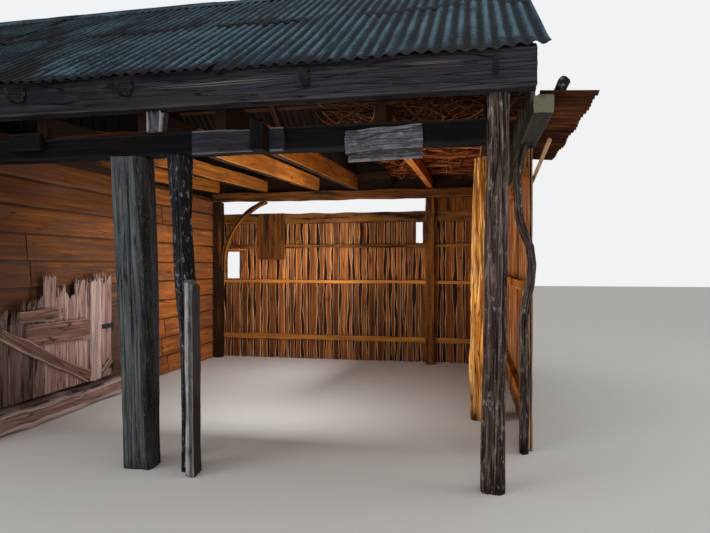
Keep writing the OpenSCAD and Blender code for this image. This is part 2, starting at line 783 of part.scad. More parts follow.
module gate_straps() {
    color("black") translate([hinge_x, hinge_y, gate_z]) for (z = hinge_z) translate([0, 0, z])
        difference() {
            union() {
                cylinder(h = strap_h, r = eye_r, $fn = 48);
                translate([gate_board_t / 2, -strap_len, 0]) cube([iron_t, strap_len, strap_h]);
                translate([0, -iron_t, 0]) cube([gate_board_t / 2 + iron_t, 2 * iron_t, strap_h]);
            }
            translate([0, 0, -1]) cylinder(h = strap_h + 2, r = pin_r + pin_clear, $fn = 48);
        }
}

// Hook pins on plates that are fixed to the wall's face
module gate_pintles() {
    lug_h = 2 * iron_t;
    shoulder = 20;
    pin_over = 8;
    color("black") for (z = hinge_z) translate([hinge_x, hinge_y, gate_z + z]) {
        translate([0, 0, -pin_over]) cylinder(h = strap_h + 2 * pin_over, r = pin_r, $fn = 48);
        translate([0, 0, -shoulder]) cylinder(h = shoulder - fit_gap, r = eye_r, $fn = 48);
        translate([-hinge_out, -lug_h / 2, -shoulder]) cube([hinge_out, lug_h, lug_h]);
        translate([-hinge_out, -pin_plate[0] / 2, (strap_h - pin_plate[1]) / 2])
            cube([iron_t, pin_plate[0], pin_plate[1]]);
    }
}

front_sheets();
rear_sheets();
ridge_cap();
ridge_board();
rafters();
purlins();
eave_beam_front();
eave_beam_rear();
front_beam();
beam_blocks();
facing_board();
nailed_boards();
stub_post();
eave_irons();
big_post();
thin_post();
short_post();
corner_post();
bark_post();
side_trunk();
side_plate();
side_strip();
side_log();
side_slabs();
side_rails();
side_pole();
gables();
partition_wall();
store_front();
store_rear();
store_end();
store_door();
wall_posts();
rear_plate();
knee_brace();
back_rails();
back_boards();
patch_boards();
joists();
brush_poles();
sill_log();
gate_boards();
gate_frame();
gate_straps();
gate_pintles();
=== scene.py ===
import math
import bpy
import numpy as np
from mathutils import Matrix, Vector


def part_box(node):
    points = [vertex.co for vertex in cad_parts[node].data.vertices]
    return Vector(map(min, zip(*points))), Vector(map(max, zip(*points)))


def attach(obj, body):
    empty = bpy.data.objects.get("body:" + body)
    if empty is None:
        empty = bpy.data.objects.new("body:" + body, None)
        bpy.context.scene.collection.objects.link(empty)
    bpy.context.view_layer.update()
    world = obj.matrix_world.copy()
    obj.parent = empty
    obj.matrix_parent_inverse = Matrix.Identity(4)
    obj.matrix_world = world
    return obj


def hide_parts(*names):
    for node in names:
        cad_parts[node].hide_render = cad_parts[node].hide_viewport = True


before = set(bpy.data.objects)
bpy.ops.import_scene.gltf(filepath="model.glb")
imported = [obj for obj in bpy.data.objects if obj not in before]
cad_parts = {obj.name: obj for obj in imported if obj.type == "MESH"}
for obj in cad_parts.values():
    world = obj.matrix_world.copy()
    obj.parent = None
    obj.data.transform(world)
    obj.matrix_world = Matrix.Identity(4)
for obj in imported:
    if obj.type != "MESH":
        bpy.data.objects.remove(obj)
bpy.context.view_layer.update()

cadNode = {name: [np.array(corner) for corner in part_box(name)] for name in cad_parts}
shelter, gate = "shelter", "gate"
right, back, up = np.eye(3)

# the building's main lines in metres, as the frame has them
hut = {"eaveRun": 2.16, "eaveZ": 2.31, "pitch": math.radians(33), "verges": (-3.29, 3.04), "slope": 2.5755,
       "wallX": -0.70, "storeX": -3.05, "sideX": 2.96, "bay": 3.47, "boardH": 0.2095, "lap": 0.018, "wall": 0.10,
       "rearIn": 1.93, "wallTop": 2.095}


def linear(colour):  # sRGB hex to linear
    parts = [int(colour[i:i + 2], 16) / 255 for i in (1, 3, 5)]
    return [c / 12.92 if c <= 0.04045 else ((c + 0.055) / 1.055) ** 2.4 for c in parts] + [1.0]


# camera, lamps, floor
view = {"place": (2.65, -5.2, 1.22), "turn": 11.4, "dip": 0.15, "lens": 580 / 710 * 36}
camera = bpy.data.objects.new("camera", bpy.data.cameras.new("camera"))
camera.data.lens = view["lens"]
camera.data.sensor_width = 36
camera.data.clip_end = 200
camera.location = view["place"]
camera.rotation_euler = (math.radians(90 - view["dip"]), 0, math.radians(view["turn"]))
bpy.context.scene.collection.objects.link(camera)
bpy.context.scene.camera = camera
bpy.context.scene.view_settings.view_transform = "Standard"


def addNode(tree, kind, settings, out=0):  # one shader node; each setting is a value, a hex colour or a socket to link
    made = tree.nodes.new("ShaderNode" + kind)
    for key, value in settings.items():
        if key == "stops":
            ramp = made.color_ramp
            while len(ramp.elements) < len(value):
                ramp.elements.new(0.5)
            for stop, (place, colour) in zip(ramp.elements, value):
                stop.position, stop.color = place, linear(colour)
        elif isinstance(value, bpy.types.NodeSocket):
            tree.links.new(value, made.inputs[key])
        elif isinstance(key, int) or key in made.inputs:
            made.inputs[key].default_value = linear(value) if isinstance(value, str) else value
        else:
            setattr(made, key, value)
    return made.outputs if out is None or not made.outputs else made.outputs[out]


def newMaterial(name):  # an empty material, and sockets for the three attributes that each piece carries
    made = bpy.data.materials.new(name)
    made.use_nodes = True
    tree = made.node_tree
    tree.nodes.clear()
    grain, marks, tone = (addNode(tree, "Attribute", {"attribute_name": label}, out)
                          for label, out in (("grain", "Vector"), ("marks", "Vector"), ("tone", "Fac")))
    return made, tree, grain, addNode(tree, "SeparateXYZ", {0: marks}, None), tone


def endMaterial(tree, settings, relief=None, strength=0.0, distance=0.0):  # the last nodes: bump, shader and output
    if relief:
        bump = addNode(tree, "Bump", {"Strength": strength, "Distance": distance, "Height": relief})
        settings = dict(settings, Normal=bump)
    addNode(tree, "OutputMaterial", {"Surface": addNode(tree, "BsdfPrincipled", settings)})


stage = {"floor": "#d9d7d3", "size": 60, "world": 0.55, "sky": "#f1f2f4"}
floorMesh = bpy.data.meshes.new("floor")
half = stage["size"] / 2
floorMesh.from_pydata([(-half, -half, 0), (half, -half, 0), (half, half, 0), (-half, half, 0)], [], [(0, 1, 2, 3)])
floor = bpy.data.objects.new("floor", floorMesh)
bpy.context.scene.collection.objects.link(floor)
paleFloor, floorTree = newMaterial("pale floor")[:2]
endMaterial(floorTree, {"Base Color": stage["floor"], "Roughness": 0.9})
floorMesh.materials.append(paleFloor)

world = bpy.data.worlds.new("studio")
bpy.context.scene.world = world
world.use_nodes = True
sky = world.node_tree
sky.nodes.clear()
skyLight = addNode(sky, "Background", {"Color": "#ffffff", "Strength": stage["world"]})
skySeen = addNode(sky, "Background", {"Color": stage["sky"], "Strength": 1.0})
skyRay = addNode(sky, "LightPath", {}, "Is Camera Ray")
addNode(sky, "OutputWorld", {"Surface": addNode(sky, "MixShader", {0: skyRay, 1: skyLight, 2: skySeen})})

# soft lamps: place, aim, size, power
lamps = {"key": ((-4.5, -8.5, 6.5), (0, 0, 1.2), 5.0, 170), "front": ((3.5, -9.0, 2.5), (0.6, 0, 1.2), 3.4, 105),
         "inside": ((1.1, -1.4, 1.3), (1.1, 2.0, 1.35), 1.1, 30), "low": ((1.2, -0.5, 0.25), (1.2, -0.3, 2.2), 2.4, 40),
         "wall": ((1.3, 1.0, 1.3), (-0.7, 1.2, 1.4), 1.0, 20), "side": ((9.0, -1.0, 4.5), (2, 0, 1.5), 4.0, 90)}
for lampName, (place, aim, size, power) in lamps.items():
    lamp = bpy.data.lights.new(lampName, "AREA")
    lamp.shape, lamp.size, lamp.energy = "SQUARE", size, power
    lampObject = bpy.data.objects.new(lampName, lamp)
    lampObject.location = place
    lampObject.visible_camera = False
    lampObject.rotation_euler = (Vector(aim) - Vector(place)).to_track_quat("-Z", "Y").to_euler()
    bpy.context.scene.collection.objects.link(lampObject)
print("stage: camera, lamps and floor are set")

# mesh tools: pieces are swept rings with three attributes for the materials
# grain: place in the timber's own frame, along X; marks: worn edge, cut end (also the painted shadow under a lap), damp
# (also painted shade, and on one block painted light); tone: each board's shade, on some pieces with painted light and
# shade added


def makeNoise(seed, waves=14):  # smooth noise of points, about -1 to 1, the same on each run
    draw = np.random.default_rng(seed)
    heading = draw.normal(size=(waves, 3))
    heading *= (draw.uniform(0.5, 1.7, waves) / np.linalg.norm(heading, axis=1))[:, None]
    phase = draw.uniform(0, 2 * math.pi, waves)

    def noise(points):
        return np.sin(points @ heading.T * 3.0 + phase).sum(-1) * (1.1 / math.sqrt(waves))
    return noise


def newPiece():
    return {"points": [], "faces": [], "grain": [], "marks": [], "tone": [], "count": 0}


def addVerts(piece, points, grain, marks, tone):
    first = piece["count"]
    piece["points"].append(points.reshape(-1, 3))
    piece["grain"].append(grain.reshape(-1, 3))
    piece["marks"].append(marks.reshape(-1, 3))
    piece["tone"].append(np.broadcast_to(tone, points.shape[:-1]).ravel())
    piece["count"] += points.size // 3
    return first


def addSweep(piece, points, grain, marks, tone):  # rings along a length, closed round, with a cap on each end
    rings, sides = points.shape[:2]
    tone = np.broadcast_to(tone, points.shape[:-1])
    first = addVerts(piece, points, grain, marks, tone)
    here = first + np.arange((rings - 1) * sides).reshape(rings - 1, sides)
    beside = np.roll(here, -1, axis=1)
    quads = np.stack([here, beside, beside + sides, here + sides], axis=-1).reshape(-1, 4)
    piece["faces"].extend(quads.tolist())
    for row, turned in ((0, True), (rings - 1, False)):
        ends, endGrain = (np.concatenate([edge, edge * 0.5 + edge.mean(axis=0) * 0.5, edge.mean(axis=0)[None]])
                          for edge in (points[row], grain[row]))
        endMarks = np.zeros((len(ends), 3))
        endMarks[:, 1] = 1
        endMarks[:, 2] = marks[row][:, 2].mean()
        start = addVerts(piece, ends, endGrain, endMarks, float(np.mean(tone[row])))
        for i in range(sides):
            j = (i + 1) % sides
            quad = [start + i, start + j, start + sides + j, start + sides + i]
            tri = [start + sides + i, start + sides + j, start + 2 * sides]
            piece["faces"].extend([quad[::-1], tri[::-1]] if turned else [quad, tri])


def axes(origin, along, width):  # a frame from where it starts, its length and its width directions
    x = np.array(along, float) / np.linalg.norm(along)
    y = np.array(width, float) - x * np.dot(width, x)
    y /= np.linalg.norm(y)
    return np.array(origin, float), x, y, np.cross(x, y)


def facePlaces(cuts, cracks, inset):  # where a face is cut across: near its edges, and five times for each crack
    places = [(i / cuts, None, 0) for i in range(cuts + 1)]
    if cuts > 1:
        places += [(inset, None, 0), (1 - inset, None, 0)]
    for crack in cracks:
        places = [p for p in places if p[0] in (0, 1) or abs(p[0] - crack[1]) > 0.12]
        places += [(crack[1], crack, side) for side in (-2.4, -1, 0, 1, 2.4)]
    return sorted(places, key=lambda p: (p[0], p[2]))


# a crack: its face, where across it, from and to as shares of the length, depth, width and wander
timberLook = {"step": 0.09, "cuts": (4, 1), "round": 0.004, "rough": 0.0012, "wane": 0.0, "bow": 0.0, "ends": 0.002,
              "cracks": (), "reach": None, "reachLow": None, "tone": None, "damp": 0.0, "heart": None, "edgeWear": 1.0,
              "crackWear": 0.6, "faceWear": 0.0, "faceDamp": {}, "foot": 0.0, "lap": 0.0, "pale": None, "fade": None,
              "toneRun": None}
# the four faces of a timber: where each starts and ends, and where it looks
faces = (((-1, -1), (1, -1), (0, -1)), ((1, -1), (1, 1), (1, 0)),
         ((1, 1), (-1, 1), (0, 1)), ((-1, 1), (-1, -1), (-1, 0)))


def addTimber(piece, place, size, seed, **look):  # sawn or waney timber: length, width and thickness
    s = dict(timberLook, **look)
    draw, noise = np.random.default_rng(seed), makeNoise(seed)
    length, width, thick = size
    rows = max(3, int(length / s["step"]) + 2)
    t = np.linspace(0, 1, rows)[:, None]
    columns = []  # round the outline: place across and through, way out, dent, wear, shadow and damp
    for side, (start, end, normal) in enumerate(faces):
        cuts, damp = s["cuts"][side % 2], s["faceDamp"].get(side, s["damp"])
        lapped = s["lap"] if side == 2 else 0
        inset = lapped or min(0.008 / (width, thick)[side % 2], 0.8 / (cuts + 1))
        for share, crack, step in facePlaces(cuts, [k for k in s["cracks"] if k[0] == side], inset):
            line, depth, wear = share, 0, s["edgeWear"] if share in (0, 1) else s["faceWear"]
            if crack:
                at, begin, finish, deep, wide, wander = crack[1:]
                inside = np.clip((t - begin) * (finish - t) * 4 / (finish - begin) ** 2, 0, 1)
                course = noise(np.concatenate([t * length * 1.6, t * 0 + side, t * 0], 1)[:, None])
                line = at + wander * course + step * wide * (0.3 + inside)
                depth = -deep * inside ** 0.5 * (step == 0)
                wear = wear + s["crackWear"] * inside * (abs(step) == 1)
            if s["pale"] and side == s["pale"][0] and s["pale"][1] < share < s["pale"][2]:
                wear = s["pale"][3]
            columns.append((*(a + (b - a) * line for a, b in zip(start, end)), *normal, depth, wear,
                            1.0 if lapped and share <= lapped else 0.0, damp))
        corner = (np.array(normal) + faces[(side + 1) % 4][2]) * 0.7071
        columns.append((*end, *corner, 0, s["edgeWear"], 0.0, damp))
    a, b, c, e, dent, worn, shadow, damp = (np.concatenate([np.broadcast_to(v, (rows, 1)) for v in values], 1)
                                            for values in zip(*columns))
    curve = min(s["round"], 0.45 * min(width, thick))
    edge = -s["wane"] * np.abs(noise(np.stack([t * length * 3.2 + 0 * a, a * 0.7 + 9, 0 * a], -1))) * 1.1
    y = a * (width / 2 - curve + edge * (np.abs(a) > 0.5)) + c * curve
    z = b * (thick / 2 - curve) + e * curve
    push = s["rough"] * noise(np.stack([t * length * 6 + 0 * y, y * 22, z * 22], -1)) + dent
    y, z = y + c * push + s["bow"] * 4 * t * (1 - t), z + e * push
    ragged = np.abs(s["ends"] * noise(np.stack([y * 0 + seed % 7, y * 60, z * 30], -1)))
    top = s["reach"](y) if s["reach"] else length + 0 * y
    low = s["reachLow"](y) if s["reachLow"] else 0 * y
    x = low + t * (top - low) - ragged * (t > 0.5) * t ** 6 + ragged * (1 - t) ** 6
    origin, ax, ay, az = place
    points = origin + x[..., None] * ax + y[..., None] * ay + z[..., None] * az
    heart = s["heart"] or (draw.uniform(-1.2, 1.2) * width, draw.choice([-1, 1]) * draw.uniform(0.4, 1.4) * thick)
    grain = np.stack([x + draw.uniform(0, 40), y + heart[0], z + heart[1]], -1)
    if s["foot"]:
        damp = np.maximum(damp, np.clip(5 * (1 - x / s["foot"]), 0, 2.5))
    if s["fade"]:
        damp = damp * np.clip((s["fade"][1] - x) / (s["fade"][1] - s["fade"][0]), 0, 1)
    tone = draw.uniform(0, 1) if s["tone"] is None else s["tone"]
    if s["toneRun"]:
        tone = tone + np.interp(x, *s["toneRun"])
    addSweep(piece, points, grain, np.stack([worn, shadow, damp], -1), tone)


def addBoxTimber(piece, low, high, along, seed, **look):  # timber that fills a box, its length along one axis
    low, high = np.array(low, float), np.array(high, float)
    size, origin = high - low, (low + high) / 2
    origin[along] = low[along]
    wide = 0 if along == 2 else 2
    place = axes(origin, np.eye(3)[along], np.eye(3)[wide])
    addTimber(piece, place, (size[along], size[wide], size[3 - along - wide]), seed, **look)


def hewn(angle):  # outline of a hewn post: a square with rounded corners
    return (np.cos(angle) ** 8 + np.sin(angle) ** 8) ** -0.125


# a log's crack: its angle, from and to in metres, depth, width and wander
logLook = {"sides": 72, "step": 0.035, "squared": False, "ridges": 0.004, "lumps": 0.004, "cracks": (), "damp": 0.12,
           "tone": 0.5, "ridgeCount": 16, "cadSeed": 1, "deep": 1.0, "sideDamp": 0.0, "tones": None}


def addLog(piece, centres, radii, seed, **look):  # upright log on the frame's own middle line
    s = dict(logLook, **look)
    noise = makeNoise(seed)
    knots = np.array(centres, float)
    rows = int((knots[-1, 2] - knots[0, 2]) / s["step"]) + 2
    z = np.linspace(knots[0, 2], knots[-1, 2], rows)[:, None]
    x, y, r = (np.interp(z[:, 0], knots[:, 2], list(values))[:, None] for values in (knots[:, 0], knots[:, 1], radii))
    angle = np.linspace(0, 2 * math.pi, s["sides"], endpoint=False)[None]
    turned = math.radians(s["cadSeed"])  # the solids' own uneven outline
    uneven = 0.06 * np.sin(3 * angle + 70 * turned) + 0.04 * np.sin(5 * angle + 130 * turned)
    shape = hewn(angle) + 0.4 * uneven if s["squared"] else 1 + uneven
    spin = np.stack([z * 1.3 + 0 * angle, np.cos(angle) * 1.2 + 0 * z, np.sin(angle) * 1.2 + 0 * z], -1)
    fine = np.stack([z * 2.4 + 0 * angle, np.cos(angle) * s["ridgeCount"] * 0.35 + 0 * z,
                     np.sin(angle) * s["ridgeCount"] * 0.35 + 0 * z], -1)
    reach = r * shape + s["lumps"] * noise(spin) - s["ridges"] * np.abs(noise(fine))
    worn = np.clip(1 - np.abs(noise(fine)) * 2.2, 0, 1)
    for turn, begin, finish, deep, wide, wander in s["cracks"]:
        course = turn + wander * noise(np.concatenate([z * 1.4, z * 0 + 5, z * 0], 1)[:, None])
        gap = np.abs((angle - course + math.pi) % (2 * math.pi) - math.pi) * r
        split = np.exp(-(gap / wide) ** 2) * np.clip((z - begin) * (finish - z) * 6, 0, 1)
        reach, worn = reach - deep * split, worn * (1 - split)
    local = np.stack([np.cos(angle) * reach, np.sin(angle) * reach * s["deep"]], -1)
    points = np.stack([x + local[..., 0], y + local[..., 1], z + 0 * angle], -1)
    grain = np.stack([z + 0 * angle + seed * 3.1, local[..., 0], local[..., 1]], -1)
    damp = np.clip(1 - (z - knots[0, 2]) / s["damp"], 0, 1)
    if s["sideDamp"]:  # painted shade: the right-hand side is darker, in the stain colour
        damp = np.maximum(damp, s["sideDamp"] * np.clip(np.cos(angle + 0.1) * 5 - 2.6, 0, 1))
    marks = np.stack([worn, 0 * worn, damp + 0 * worn], -1)
    tone = s["tone"] if s["tones"] is None else np.interp(z, s["tones"][0], s["tones"][1])
    addSweep(piece, points, grain, marks, tone)


def addTube(piece, path, radii, seed, sides=6, tone=0.5, rough=0.0):  # pole or twig through points
    path = np.array(path, float)
    radii = np.interp(np.linspace(0, 1, len(path)), np.linspace(0, 1, len(radii)), radii)
    heading = np.gradient(path, axis=0)
    heading /= np.linalg.norm(heading, axis=1)[:, None]
    normal = np.cross(heading[0], up if abs(heading[0][2]) < 0.9 else right)
    normal /= np.linalg.norm(normal)
    run = np.concatenate([[0], np.cumsum(np.linalg.norm(np.diff(path, axis=0), axis=1))])
    angle = np.linspace(0, 2 * math.pi, sides, endpoint=False)
    circle = np.stack([np.cos(angle), np.sin(angle)], -1)
    noise = makeNoise(seed)
    rings, grains = [], []
    for centre, ahead, far, radius in zip(path, heading, run, radii):
        normal = normal - ahead * np.dot(normal, ahead)
        normal /= np.linalg.norm(normal)
        size = radius + rough * noise(np.column_stack([np.full(sides, far * 5), circle * 1.5]))
        flat = circle * np.reshape(size, (-1, 1))
        rings.append(centre + flat[:, :1] * normal + flat[:, 1:] * np.cross(ahead, normal))
        grains.append(np.column_stack([np.full(sides, far + seed), flat]))
    addSweep(piece, np.array(rings), np.array(grains), np.zeros((len(path), sides, 3)), tone)


def finishPiece(piece, name, material, node=None, body=shelter, sharp=38):
    data = bpy.data.meshes.new(name)
    points = np.concatenate(piece["points"])
    points[:, 2] = np.maximum(points[:, 2], 0)
    data.from_pydata(points.tolist(), [], piece["faces"])
    for label, kind, key in (("grain", "FLOAT_VECTOR", "vector"), ("marks", "FLOAT_VECTOR", "vector"),
                             ("tone", "FLOAT", "value")):
        layer = data.attributes.new(label, kind, "POINT")
        layer.data.foreach_set(key, np.concatenate(piece[label]).astype(np.float32).ravel())
    data.polygons.foreach_set("use_smooth", [True] * len(data.polygons))
    data.update()
    data.validate()
    data.set_sharp_from_angle(angle=math.radians(sharp))
    data.materials.append(material)
    made = bpy.data.objects.new(name, data)
    bpy.context.scene.collection.objects.link(made)
    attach(made, body)
    if node:
        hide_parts(node)
    print(f"piece: {name}, {sum(len(p.vertices) - 2 for p in data.polygons)} triangles")


def boxPiece(name, material, node, slot, boxes, **shared):  # a piece of squared timbers, each of which fills a box
    piece = newPiece()
    for low, high, along, seed, look in boxes:
        addBoxTimber(piece, low, high, along, seed, **{**shared, **look})
    finishPiece(piece, name, material, node)


# materials

woodLook = {"rings": 7.0, "ringDepth": 0.25, "streak": 26, "split": 0.35, "growth": None, "growthShare": 0.0,
            "stainShare": 0.0, "roughness": 0.82, "bump": 0.5, "spread": 0.35, "wearShare": 0.6, "knots": 0.6,
            "weather": 0.5, "stainScale": 1.6, "run": 1.1, "growthScale": 1.0, "specular": 0.3, "outside": None}


def woodMaterial(name, colours, **look):  # timber: rings and fibres, weathering, knots, splits, wear, stains, lichen
    made, tree, grain, marks, tone = newMaterial(name)
    s = dict(woodLook, **look)
    dark, main, light, weathered, worn, crack, end, stain = colours.split()
    # each texture's stretch, along and across the grain: fibres are drawn about 4 mm wide, coarser than real ones,
    # so that they show; weathering lies in patches of about 200 mm, and knots come a few to the metre
    t = {}
    for label, kind, stretch, settings in (
            ("fibre", "TexNoise", (3.0, 210, 210), {"Detail": 3.0, "Roughness": 0.6}),
            ("streak", "TexNoise", (s["run"], s["streak"], s["streak"]),
             {"Detail": 5.0, "Roughness": 0.62, "Distortion": 0.4}),
            ("rings", "TexWave", (0.3, 1, 1), {"wave_type": "RINGS", "rings_direction": "X", "Scale": 314 / s["rings"],
                                               "Distortion": 3.5, "Detail": 2.0, "Detail Scale": 0.35}),
            ("patch", "TexNoise", (1.6, 6, 6), {"Detail": 4.0, "Roughness": 0.55}),
            ("knot", "TexVoronoi", (2.2, 8, 8), {"Randomness": 1.0}),
            ("cells", "TexVoronoi", (1.3, 34, 34), {"feature": "DISTANCE_TO_EDGE"}),
            ("stain", "TexNoise", (s["stainScale"], 14, 14), {"Detail": 4.0, "Roughness": 0.7}),
            ("growth", "TexNoise", [k * s["growthScale"] for k in (7, 16, 16)], {"Detail": 6.0, "Roughness": 0.7})):
        at = addNode(tree, "VectorMath", {"operation": "MULTIPLY", 0: grain, 1: stretch})
        t[label] = addNode(tree, kind, {"Scale": 1.0, **settings, "Vector": at})
    # ranges: what is read, its low and high ends, and what they become
    splitFrom = 0.62 - s["split"] * 0.3
    m = {label: addNode(tree, "MapRange", dict(enumerate(values))) for label, values in {
        "ring": (t["rings"], 0, 1, 1 - s["ringDepth"], 1), "fibre": (t["fibre"], 0.3, 0.7, 0.84, 1.14),
        "board": (tone, 0, 1, 1 - s["spread"], 1 + s["spread"]), "patch": (t["patch"], 0.48, 0.68, 0, s["weather"]),
        "knot": (t["knot"], 0.16, 0.07, 0, s["knots"]), "line": (t["cells"], 0.05, 0, 0, 1),
        "mask": (t["streak"], splitFrom, splitFrom + 0.1, 0, 1), "stain": (t["stain"], 0.52, 0.66, 0, s["stainShare"]),
        "growth": (t["growth"], 0.56, 0.66, 0, s["growthShare"]),
        "rough": (t["streak"], 0, 1, s["roughness"] - 0.12, s["roughness"] + 0.1)}.items()}
    shade = addNode(tree, "Math", {"operation": "MULTIPLY", 0: m["ring"], 1: m["fibre"]})
    shade = addNode(tree, "Math", {"operation": "MULTIPLY", 0: shade, 1: m["board"]})
    split = addNode(tree, "Math", {"operation": "MULTIPLY", 0: m["line"], 1: m["mask"]})
    wear = addNode(tree, "Math", {"operation": "MULTIPLY", 0: marks[0], 1: t["streak"]})
    wear = addNode(tree, "Math", {"operation": "MULTIPLY", 0: wear, 1: s["wearShare"] * 1.6})
    # the cut-end colour also paints the shadow under a lap
    cutEndAndLapShadow = addNode(tree, "Math", {"operation": "MULTIPLY", 0: marks[1], 1: 0.75})
    endAndLapShadowColour = addNode(tree, "MixRGB", {"blend_type": "MULTIPLY", "Fac": 0.8, "Color1": end, "Color2": m["ring"]})
    # the damp stain also paints shade on some faces and post sides, and warm light on one block
    damp = addNode(tree, "Math", {"operation": "MULTIPLY", "use_clamp": True, 0: marks[2], 1: t["stain"]})
    damp = addNode(tree, "Math", {"operation": "MULTIPLY_ADD", "use_clamp": True, 0: damp, 1: 1.5, 2: m["stain"]})
    layers = [(m["patch"], weathered), (m["knot"], crack), (split, crack), (wear, worn), (cutEndAndLapShadow, endAndLapShadowColour),
              (damp, stain)]
    if s["outside"]:  # faces that look outdoors have gone grey
        normal = addNode(tree, "NewGeometry", {}, "True Normal")
        facing = addNode(tree, "VectorMath", {"operation": "DOT_PRODUCT", 0: normal, 1: s["outside"]}, "Value")
        greyed = addNode(tree, "MixRGB", {"blend_type": "MULTIPLY", "Fac": 1.0, "Color1": s["greyed"], "Color2": shade})
        layers.insert(1, (addNode(tree, "MapRange", {0: facing, 1: 0.45, 2: 0.8, 4: 0.85}), greyed))
    if s["growth"]:  # lichen in small spots
        layers.append((m["growth"], s["growth"]))
    base = addNode(tree, "ValToRGB", {"stops": [(0.28, dark), (0.5, main), (0.72, light)], 0: t["streak"]})
    colour = addNode(tree, "MixRGB", {"blend_type": "MULTIPLY", "Fac": 1.0, "Color1": base, "Color2": shade})
    for share, tint in layers:
        colour = addNode(tree, "MixRGB", {"Fac": share, "Color1": colour, "Color2": tint})
    relief = t["streak"]
    for source, share in ((t["fibre"], 0.35), (t["rings"], 0.22), (split, -0.9)):
        relief = addNode(tree, "Math", {"operation": "MULTIPLY_ADD", 0: source, 1: share, 2: relief})
    endMaterial(tree, {"Base Color": colour, "Roughness": m["rough"], "Specular IOR Level": s["specular"]}, relief,
                s["bump"], 0.004)
    return made


# the eight colours are dark, main and light streaks, weathered patches, worn edges, cracks, cut ends and stains; the
# cut-end colour also paints the shadow under a lap, and the stain colour also paints shade and, on one block, light on
# some faces
# sawn oak left to weather: dark grey-brown, long splits that show paler wood inside
sawnOak = woodMaterial("sawn oak", "#26252c #393840 #4d4b55 #3e3938 #b5aca6 #09080a #221e1c #17141a", stainShare=0.6,
    split=0.7, bump=0.7, growth="#47463a", growthShare=0.3, streak=34, specular=0.05)
# tarred softwood: near black, slightly blue, dull, with brown showing where the tar has gone
tarredSoftwood = woodMaterial("tarred softwood", "#07070a #0d0d11 #17171c #120d0b #3a3534 #040404 #1c1511 #1d130d",
    stainShare=0.3, split=0.5, roughness=0.8, wearShare=0.3, specular=0.06)
# facing board: greyed softwood, darker than the nailed boards
greyedBoard = woodMaterial("greyed softwood", "#1d1d23 #2e2f37 #474952 #232023 #84848a #110e0d #3d3632 #211c1a",
    stainShare=0.5, split=0.6, spread=0.1, run=5.0, streak=40, specular=0.15)
# silvered softwood boards: grey, furry with raised grain, dark in the splits; the near-black cut-end colour also paints
# the shadow under the upper board
silveredBoard = woodMaterial("silvered softwood", "#2b2930 #5b5861 #96929b #46434a #d9d5d6 #0b090b #141214 #231e20",
    stainShare=0.8, split=1.0, bump=1.0, spread=0.15, streak=75, run=11.0, stainScale=9.0, growth="#c5c1c6",
    growthShare=0.3, growthScale=5.0)
# weathered post end: grey face with a white streak, its right side painted brown as shade
streakedPost = woodMaterial("streaked grey post", "#2c2b2f #4c4b50 #77777c #5c5a5e #d4d0cc #0f0c0c #8d857d #261c18",
    stainShare=0.4, split=0.8, bump=0.9, spread=0.15, streak=70, run=15.0, weather=0.8, stainScale=6.0)
# hewn oak post: grey-green from lichen, black splits, near black on the right-hand side as painted shade
hewnOak = woodMaterial("hewn oak", "#373b41 #4c5155 #656b6a #3e444a #777b7c #0b0a09 #5a544c #1d1712", stainShare=0.35,
    split=0.9, bump=1.0, growth="#93948c", growthShare=0.25, growthScale=5.0, spread=0.32, streak=110, run=5.0,
    specular=0.15)
# old post with its tar worn off in streaks: dark with blue-grey and pale flecks
oldPost = woodMaterial("old tarred post", "#15151a #24242a #40424b #1c1815 #6f6f76 #060506 #1e1915 #120b08",
    stainShare=0.3, split=0.9, bump=1.0, growth="#a2a4b4", growthShare=0.6, growthScale=2.6, spread=0.0, streak=48,
    run=3.0, wearShare=0.3, specular=0.15)
# bark left on: rough, red-brown, grey where it has dried
barkSkin = woodMaterial("bark", "#824a1c #d68c36 #f8bd62 #a06a35 #f9cd8a #170d06 #c08a4c #3a2210", stainShare=0.5,
    split=1.0, bump=1.0, growth="#8a7a58", growthShare=0.3, growthScale=2.0, spread=0.35, streak=34, run=3.5,
    specular=0.15)
# dead brush and poles: thin, red-brown, brighter where the bark is off
dryBrush = woodMaterial("dry brush", "#30160a #7a3c18 #c8772f #54301a #e08a3c #0d0503 #8a5226 #1c0e07",
    stainShare=0.5, split=0.4, spread=0.8, streak=40, run=2.0, specular=0.12)
# slim pole with its bark peeled: pale yellow-pink
peeledPole = woodMaterial("peeled pole", "#7a5838 #aa8257 #cfa878 #8a6746 #dcbb90 #3a2616 #9a7850 #5b4029",
    stainShare=0.4, split=0.4, run=2.0)
# weathered corner post with its bark half gone: purple-brown, ridged, with pale streaks
flakedBark = woodMaterial("flaked bark", "#1e1817 #4b3d38 #8a7467 #342a2a #b09d93 #080506 #1e1915 #151011",
    stainShare=0.6, split=1.0, bump=1.0, growth="#bcafa9", growthShare=0.55, growthScale=2.3, spread=0.3, streak=60,
    run=4.5, wearShare=0.5, specular=0.15)
# dry sawn softwood under cover: warm orange-brown, open grain, darker towards the front
drySoftwood = woodMaterial("dry sawn softwood", "#773f13 #ac611e #d4842c #814b18 #d89546 #241005 #a4672e #26150a",
    stainShare=0.35, split=0.4, rings=9.0, spread=0.4, wearShare=0.35, specular=0.12)
# softwood gone dark with age and smoke, up under the sheets and behind
smokedSoftwood = woodMaterial("smoked softwood", "#160e08 #2c1b0f #432b18 #21160e #573a22 #050302 #21150c #090503",
    stainShare=0.5, split=0.5, rings=9.0, spread=0.3, wearShare=0.3, specular=0.08)
# gable boards: softwood weathered grey-brown outdoors, sooty on the inner gable
gableWood = woodMaterial("weathered gable board", "#2f2823 #51463d #75685b #403832 #8d8072 #0f0b08 #3a3029 #070403",
    stainShare=0.4, split=0.6, rings=9.0, spread=0.4, streak=34, run=2.5, specular=0.1)
